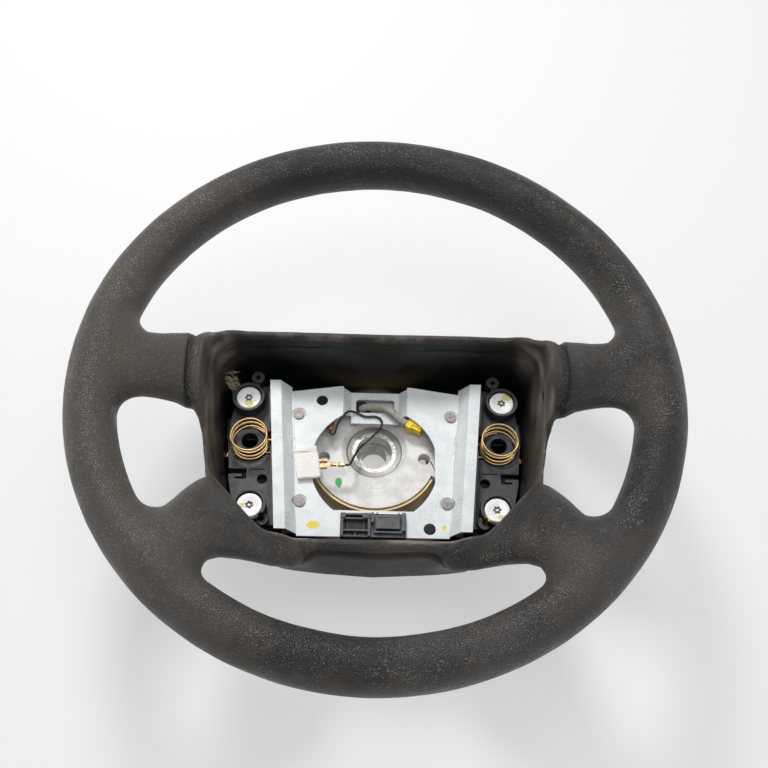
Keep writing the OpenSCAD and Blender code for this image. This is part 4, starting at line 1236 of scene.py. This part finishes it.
# %% One material for each slot
def finishes():
    """One material for each of the record's slots."""
    return {
        "cast": cast_finish(),
        # Pale and hardly metallic: painted reflection, so that the pot's wall stays bright in the plate's
        # shade.
        "passivated": metal_finish("yellow passivated pot", srgb(255, 226, 164), srgb(250, 212, 148),
                                   9, 0.5, 0.05),
        "bush_steel": metal_finish("turned steel", srgb(150, 148, 144), srgb(172, 170, 166), 4, 0.4, 0.85),
        "bracket": paint_finish(),
        "copper": metal_finish("bare copper", srgb(188, 122, 92), srgb(150, 96, 74), 2, 0.4, 0.7),
        "carrier": plastic_finish("carrier moulding", srgb(46, 47, 50), srgb(58, 59, 62), srgb(118, 118, 120),
                                  0.7, 0.5, 0.34, CARRIER_SMEARS, YELLOW_PAINT),
        "zinc": metal_finish("bright zinc", srgb(250, 250, 248), srgb(238, 238, 235),
                             5, 0.45, 0.1, SCREW_SMEARS),
        "spring": metal_finish("yellow spring wire", srgb(226, 190, 134), srgb(206, 168, 114),
                               12, 0.42, 0.65, dirt=0.0, relief=0.000001),
        "black_plastic": plastic_finish("black moulding", srgb(34, 34, 36), srgb(44, 44, 46),
                                        srgb(92, 92, 94)),
        "wire_skin": plastic_finish("wire skin", srgb(22, 22, 24), srgb(30, 30, 32), srgb(44, 44, 46),
                                    0.9, 0.36, 0.2),
        "terminal": metal_finish("brass sheet", srgb(222, 188, 142), srgb(190, 150, 112), 2.5, 0.3, 0.7),
        "wrap": wrap_finish(),
        "sleeve": sleeve_finish(),
        "plug": plastic_finish("yellow moulding", srgb(252, 220, 40), srgb(244, 206, 44),
                               srgb(250, 232, 120), 0.5, 0.45, 0.22),
    }


FINISH = finishes()
print("finishes:", sorted(FINISH))

# %% [markdown]
# The hard parts keep their exact form, but a real edge is never knife-sharp: a cast edge has a
# radius of most of a millimetre, and a pressed or moulded one less. A copy of each such part
# has its faces merged and its edges rounded, and stands in for it.

# %% Rounded copies of the hard parts
EDGE_RADIUS = {"armature": ("cast", 0.5), "bracket_pillars": ("cast", 0.3),
               "bracket_plate": ("bracket", 0.25), "left_carrier": ("carrier", 0.3),
               "right_carrier": ("carrier", 0.3), "hub_pot": ("passivated", 0.3)}
for node, (slot, radius) in EDGE_RADIUS.items():
    piece = finish_piece(rounded_copy(node + "_rounded", node, radius), slot, node)
    print(piece.name, "has", len(piece.data.polygons), "faces")

# %% [markdown]
# Two sockets stand side by side in the bracket's bay. The left one is an open frame with a deep
# cavity, and the right one a closed body between posts. Each is a set of rounded walls and bars.

# %% Sockets in the bracket's bay
LEFT_SOCKET = [((-21.5, -70, 41), (-19.8, -53.8, 50.4)), ((-3.6, -70, 41), (-1.9, -53.8, 50.4)),
               ((-21.4, -55.3, 41), (-2, -53.9, 50.2)), ((-19.9, -57.9, 41), (-3.5, -56.7, 49.4)),
               ((-21.4, -66.5, 41), (-2, -65.2, 50)), ((-21.4, -69.9, 41), (-2, -69, 48.4)),
               ((-12.6, -69.4, 41), (-11.4, -66, 48.2)), ((-20.6, -69.5, 41), (-2.8, -65.6, 45.4)),
               ((-20.6, -66, 41.1), (-2.8, -54.4, 43.2)), ((-21.4, -57.6, 49.8), (-18.4, -54, 51)),
               ((-7.2, -57.6, 49), (-2, -54, 51)), ((-17.4, -65.4, 43), (-16.6, -57, 46.4)),
               ((-6.8, -65.4, 43), (-6, -57, 46.4)), ((-19.6, -68.6, 45), (-13.8, -66.8, 46.6)),
               ((-10.2, -68.6, 45), (-4.4, -66.8, 46.6))]
RIGHT_SOCKET = [((-1.5, -69.3, 41), (21.4, -53.9, 47.4)), ((1.9, -65.2, 46), (17.5, -55.7, 51.8)),
                ((2.6, -57.6, 51.4), (16.8, -56.2, 52)), ((4.4, -63.4, 51.5), (7.6, -60.2, 52)),
                ((11.6, -63.4, 51.5), (14.8, -60.2, 52)), ((-1.5, -61, 47), (0.3, -54, 52.3)),
                ((18.9, -66.8, 47), (21.4, -54, 52.3)), ((2, -55.4, 47), (3.1, -54, 52)),
                ((16.4, -55.4, 47), (17.5, -54, 52)), ((0.4, -67.6, 47), (19.2, -66.2, 50.2)),
                ((-1.4, -69.9, 43), (21.3, -68.4, 48.2))]
socket_moulding = plastic_finish("socket moulding", srgb(78, 79, 81), srgb(92, 93, 95),
                                 srgb(136, 136, 136), 0.5, 0.5)
sockets = []
for node, walls in (("left_connector", LEFT_SOCKET), ("right_connector", RIGHT_SOCKET)):
    sockets.append(finish_piece(blocks(node + "_moulded", walls, 0.22), "black_plastic", node))
print("socket walls:", len(LEFT_SOCKET), len(RIGHT_SOCKET))

# %% [markdown]
# A copper strip under the bracket carries the crimp that grips the horn wire. Its barrel is
# pressed in at the top, as on the terminal.

# %% Horn contact
CONTACT_STRIP = [((-41.4, 11.6, 45.5), (-33.6, 17.4, 46.3)), ((-35, 11.6, 42.1), (-34.1, 17.4, 46.2)),
                 ((-34.6, 11.6, 42), (-28.6, 17.4, 42.6))]
contact_parts = [blocks("strip", CONTACT_STRIP, 0.12),
                 crimp_barrel("barrel", (-31, 17, 43.6), (-31, 10.2, 43.6), 1.75, 0.3)]
contact = finish_piece(join_pieces("horn_contact_copper", contact_parts), "copper", "horn_contact")
print("contact faces:", len(contact.data.polygons))

# %% [markdown]
# A coil spring is a wire whose centre follows a rule: round the axis at a steady radius, and up
# at a steady rate except at the ends, where the last turn lies flat on the one before. Geometry
# Nodes can say this directly. A line is cut into many points, each point's place is worked out
# from how far along it lies, and a round profile is swept along the result. A side input of
# -1 mirrors the coil without turning its faces.

# %% Coil springs by Geometry Nodes
def open_geometry(name, inputs):
    """New geometry tree with named inputs. Gives the tree, its inner inputs and its output."""
    tree = bpy.data.node_groups.new(name, "GeometryNodeTree")
    tree.interface.new_socket("Geometry", in_out="INPUT", socket_type="NodeSocketGeometry")
    for label, kind in inputs:
        tree.interface.new_socket(label, in_out="INPUT", socket_type=kind)
    tree.interface.new_socket("Geometry", in_out="OUTPUT", socket_type="NodeSocketGeometry")
    return tree, tree.nodes.new("NodeGroupInput").outputs, tree.nodes.new("NodeGroupOutput").inputs


def close_geometry(tree, geometry, finish, out):
    """Ends a tree: real geometry, smooth faces and its material."""
    plain = add(tree, "GeometryNodeRealizeInstances", {0: geometry}).outputs[0]
    painted = add(tree, "GeometryNodeSetMaterial", {"Geometry": plain, "Material": finish}).outputs[0]
    tree.links.new(painted, out)


def grow(name, tree, mesh=None, **values):
    """Runs a geometry tree on a mesh and keeps the result as a plain mesh."""
    piece = link_object(name, mesh or bpy.data.meshes.new(name))
    modifier = piece.modifiers.new("grow", "NODES")
    modifier.node_group = tree
    for item in tree.interface.items_tree:
        if item.in_out == "INPUT" and item.name in values:
            modifier[item.identifier] = values[item.name]
    return apply_modifiers(piece)


def spring_tree():
    sizes = [(name, FLOAT) for name in ("Side", "Axis X", "Low Z", "Rise", "Radius", "Wire", "Turns")]
    tree, given, out = open_geometry("coil spring", sizes + [("Finish", "NodeSocketMaterial")])
    line = tree.nodes.new("GeometryNodeCurvePrimitiveLine").outputs[0]
    points = add(tree, "GeometryNodeResampleCurve", {"Curve": line, "Count": 300}).outputs[0]
    share = tree.nodes.new("GeometryNodeSplineParameter").outputs["Factor"]
    angle = plus(tree, times(tree, share, times(tree, given["Turns"], 2 * math.pi)), math.pi / 2)
    reach = plus(tree, given["Axis X"], times(tree, given["Radius"], calc(tree, "COSINE", angle)))
    step = times(tree, given["Wire"], 1.1)
    climb = minus(tree, given["Rise"], times(tree, step, 2.0))
    first, middle, last = (
        times(tree, calc(tree, "DIVIDE", minus(tree, share, begin), length, clamp=True), rise)
        for begin, length, rise in ((0.0, 0.2, step), (0.2, 0.62, climb), (0.82, 0.18, step)))
    height = plus(tree, plus(tree, first, middle), plus(tree, last, given["Low Z"]))
    place = add(tree, "ShaderNodeCombineXYZ", {"X": times(tree, reach, given["Side"]),
                                               "Y": times(tree, given["Radius"], calc(tree, "SINE", angle)),
                                               "Z": height}).outputs[0]
    coil = add(tree, "GeometryNodeSetPosition", {"Geometry": points, "Position": place}).outputs[0]
    half_wire = times(tree, given["Wire"], 0.5)
    circle = {"Resolution": 16, "Radius": half_wire}
    section = add(tree, "GeometryNodeCurvePrimitiveCircle", circle).outputs[0]
    sweep = {"Curve": coil, "Profile Curve": section, "Fill Caps": True}
    wire = add(tree, "GeometryNodeCurveToMesh", sweep).outputs[0]
    close_geometry(tree, wire, given["Finish"], out["Geometry"])
    return tree


SPRING_WIRE = 1.3
SPRING_H = 17.0
SPRING_TURNS = 3.7
SPRING_RADIUS = 12.35
SPRING_AXIS_X = 86.3
POCKET_Z = 39.4
coil_tree = spring_tree()
for side, label in ((-1, "left"), (1, "right")):
    spring = grow(label + "_coil_spring", coil_tree, **{
        "Side": float(side), "Axis X": SPRING_AXIS_X * MM, "Radius": SPRING_RADIUS * MM,
        "Low Z": (POCKET_Z + SPRING_WIRE / 2 + 0.1) * MM, "Rise": (SPRING_H - SPRING_WIRE) * MM,
        "Wire": SPRING_WIRE * MM, "Turns": SPRING_TURNS, "Finish": FINISH["spring"]})
    finish_piece(spring, "spring", label + "_horn_spring")
    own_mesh(spring)
    print(spring.name, "has", len(spring.data.polygons), "faces")

# %% [markdown]
# Four equal shoulder screws hold the carriers. One screw is turned as a stack of rings, with a
# six-lobed recess and the small centre pin of a tamper-proof head. Geometry Nodes then set the
# same screw on four points, each turned a little differently, as hands leave them.

# %% Screws by Geometry Nodes
SCREW_PLACES = [(-89, 31.1), (89, 31.1), (-82.5, -49.8), (82.5, -49.8)]
SCREW_TURN = 0.37


def screw_rings():
    angle = full_turn(96)
    lobes = 2.5 + 0.42 * np.cos(6 * angle)
    profile = [(3.0, 24), (3.0, 34.6), (4.0, 35.2), (4.0, 47.4), (8.2, 47.5), (8.6, 47.9), (8.6, 49.5),
               (8.45, 49.95), (8.1, 50.25), (7.6, 50.3), (5.4, 50.3), (5.2, 50.22), (lobes + 0.35, 50.2),
               (lobes + 0.1, 50.1), (lobes, 49.8), (lobes * 0.97, 48.7), (1.6, 48.6), (1.5, 48.9),
               (1.15, 48.9), (0.95, 49.0), (0.9, 49.9), (0.7, 50.12), (0.05, 50.15)]
    return [np.stack([r * np.cos(angle), r * np.sin(angle), np.full_like(angle, z)], 1) * MM
            for r, z in profile]


def screw_tree(template):
    tree, given, out = open_geometry("set screws", [("Turn", FLOAT), ("Finish", "NodeSocketMaterial")])
    model = add(tree, "GeometryNodeObjectInfo", {"Object": template}).outputs["Geometry"]
    turn = times(tree, tree.nodes.new("GeometryNodeInputIndex").outputs[0], given["Turn"])
    facing = add(tree, "ShaderNodeCombineXYZ", {"Z": turn}).outputs[0]
    placed = add(tree, "GeometryNodeInstanceOnPoints", {"Points": given["Geometry"], "Instance": model,
                                                        "Rotation": facing}).outputs[0]
    close_geometry(tree, placed, given["Finish"], out["Geometry"])
    return tree


screw_model = loft("screw model", screw_rings())
screw_points = bpy.data.meshes.new("screw places")
screw_points.from_pydata([(x * MM, y * MM, 0) for x, y in SCREW_PLACES], [], [])
screws = grow("carrier_screws_turned", screw_tree(screw_model), screw_points,
              Turn=SCREW_TURN, Finish=FINISH["zinc"])
screws.data.shade_smooth()
screws.data.set_sharp_from_angle(angle=math.radians(40))
bpy.data.objects.remove(screw_model)
finish_piece(screws, "zinc", "carrier_screws")
print("screws:", len(SCREW_PLACES), "faces:", len(screws.data.polygons))

# %% [markdown]
# Small things that a hand would find: an oval cast pad on the hub, and a tuft of torn threads
# where the foam's backing has frayed beside the left carrier.

# %% Oval pad and frayed threads
PAD_PROFILE = [(1.0, 34.6), (1.0, 35.2), (0.96, 35.34), (0.9, 35.36), (0.84, 35.3), (0.8, 35.16),
               (0.02, 35.16)]


def oval_pad():
    angle = full_turn(64)
    rings = []
    for scale, z in PAD_PROFILE:
        rings.append(np.stack([-32.6 + 4.25 * scale * np.cos(angle), 4.4 + 5.5 * scale * np.sin(angle),
                               np.full(64, z)], 1) * MM)
    return loft("hub_oval_pad", rings)


FRAY_ROOT = np.array([-104.6, 45, 52])
FRAY_COUNT = 44


def frayed_threads():
    dice = np.random.default_rng(11)
    threads = []
    for _ in range(FRAY_COUNT):
        start = FRAY_ROOT + dice.uniform((-0.6, -5, -9), (0.4, 5, 9))
        sweep = np.array([dice.uniform(3, 10), dice.uniform(-9, 1), dice.uniform(-4, 3)])
        curl = np.array([dice.uniform(-0.8, 1.6), dice.uniform(-2.5, 2.5), dice.uniform(-2.5, 2.5)])
        line = smooth_line([start - (1.2, 0, 0), start, start + sweep * 0.45 + curl, start + sweep], 6) * MM
        threads.append(tube("thread", line, dice.uniform(0.1, 0.24) * MM, 6))
    return join_pieces("frayed_backing_threads", threads)


finish_piece(oval_pad(), "cast")
threads = finish_piece(frayed_threads(), "foam")
print("frayed threads:", FRAY_COUNT)

# %% [markdown]
# Every piece and every hard part now gets the finish of its slot. Parts without a rounded copy
# keep their own mesh, so only their material slot is filled.

# %% Hand out the finishes
thread_finish = plastic_finish("frayed threads", srgb(168, 150, 124), srgb(206, 190, 166),
                               srgb(214, 200, 178), 0.3, 0.8)


def dress(thing, finish):
    thing.data.materials.clear()
    thing.data.materials.append(finish)


for piece, slot in made:
    if slot in FINISH:
        dress(piece, FINISH[slot])
for piece, finish in [(socket, socket_moulding) for socket in sockets] + [(threads, thread_finish)]:
    dress(piece, finish)
BARE_PARTS = {"rim_skeleton": "cast", "hub_bush": "bush_steel", "left_pin_bush": "black_plastic",
              "right_pin_bush": "black_plastic", "lead_grommet": "black_plastic"}
for node, slot in BARE_PARTS.items():
    dress(nodes[node], FINISH[slot])
clip_wire, rivet_heads = clip_finish(), rivet_finish()
WIRE_AND_RIVETS = {"left_pin_clip": clip_wire, "right_pin_clip": clip_wire, "bracket_rivets": rivet_heads}
for node, finish in WIRE_AND_RIVETS.items():
    dress(nodes[node], finish)
print("finished pieces:", len(made), "bare parts:", len(BARE_PARTS) + len(WIRE_AND_RIVETS))

# %% [markdown]
# The floor and the light only show the object. A pale table, a white surround and three soft
# lamps give the light of a bright room. The key lamp stands on the far side and is the smallest,
# so that it draws a sheen on the rim. The table glows a little in the rays that come from the
# camera or bounce off gloss and glass, and not in the rays that light the wheel.

# %% Floor, surround and lamps
FLOOR_GLOW = 0.5
FLOOR_HALF = 3
SURROUND_STRENGTH = 0.4
# Each lamp: name, place, the point it aims at, size in metres, watts.
LAMPS = [("key", (-0.3, 0.95, 1.2), (0, 0, 0.1), 0.4, 15.5),
         ("fill", (0.5, -0.9, 1.0), (0, 0, 0.05), 0.9, 1.0),
         ("top", (0.1, 0.0, 1.6), (0, 0, 0), 0.9, 5.5)]


def make_floor():
    corners = [(x * FLOOR_HALF, y * FLOOR_HALF, 0) for x, y in ((-1, -1), (1, -1), (1, 1), (-1, 1))]
    floor = new_piece("floor", corners, [(0, 1, 2, 3)])
    material, tree, shader = new_material("pale table")
    feed(tree, shader, Base_Color=(0.76, 0.765, 0.76, 1), Roughness=0.6)
    rays = tree.nodes.new("ShaderNodeLightPath").outputs
    seen = plus(tree, rays["Is Camera Ray"], rays["Is Glossy Ray"])
    seen = times(tree, plus(tree, seen, rays["Is Transmission Ray"], clamp=True), FLOOR_GLOW)
    glow = add(tree, "ShaderNodeEmission", {"Color": (0.95, 0.955, 0.955, 1), "Strength": 1.0}).outputs[0]
    both = add(tree, "ShaderNodeMixShader", {0: seen, 1: shader.outputs[0], 2: glow}).outputs[0]
    tree.links.new(both, tree.nodes["Material Output"].inputs["Surface"])
    floor.data.materials.append(material)


def make_lamp(name, place, aim, size, watts):
    lamp = link_object(name, bpy.data.lights.new(name, "AREA"))
    lamp.data.shape = "DISK"
    lamp.data.size = size
    lamp.data.energy = watts
    lamp.location = place
    lamp.rotation_euler = (Vector(aim) - Vector(place)).to_track_quat("-Z", "Y").to_euler()


make_floor()
for lamp in LAMPS:
    make_lamp(*lamp)
world = bpy.context.scene.world or bpy.data.worlds.new("surround")
bpy.context.scene.world = world
world.use_nodes = True
world.node_tree.nodes["Background"].inputs["Color"].default_value = (1, 1, 1, 1)
world.node_tree.nodes["Background"].inputs["Strength"].default_value = SURROUND_STRENGTH
bpy.context.scene.view_settings.view_transform = "Standard"
print("lamps:", [name for name, *_ in LAMPS])
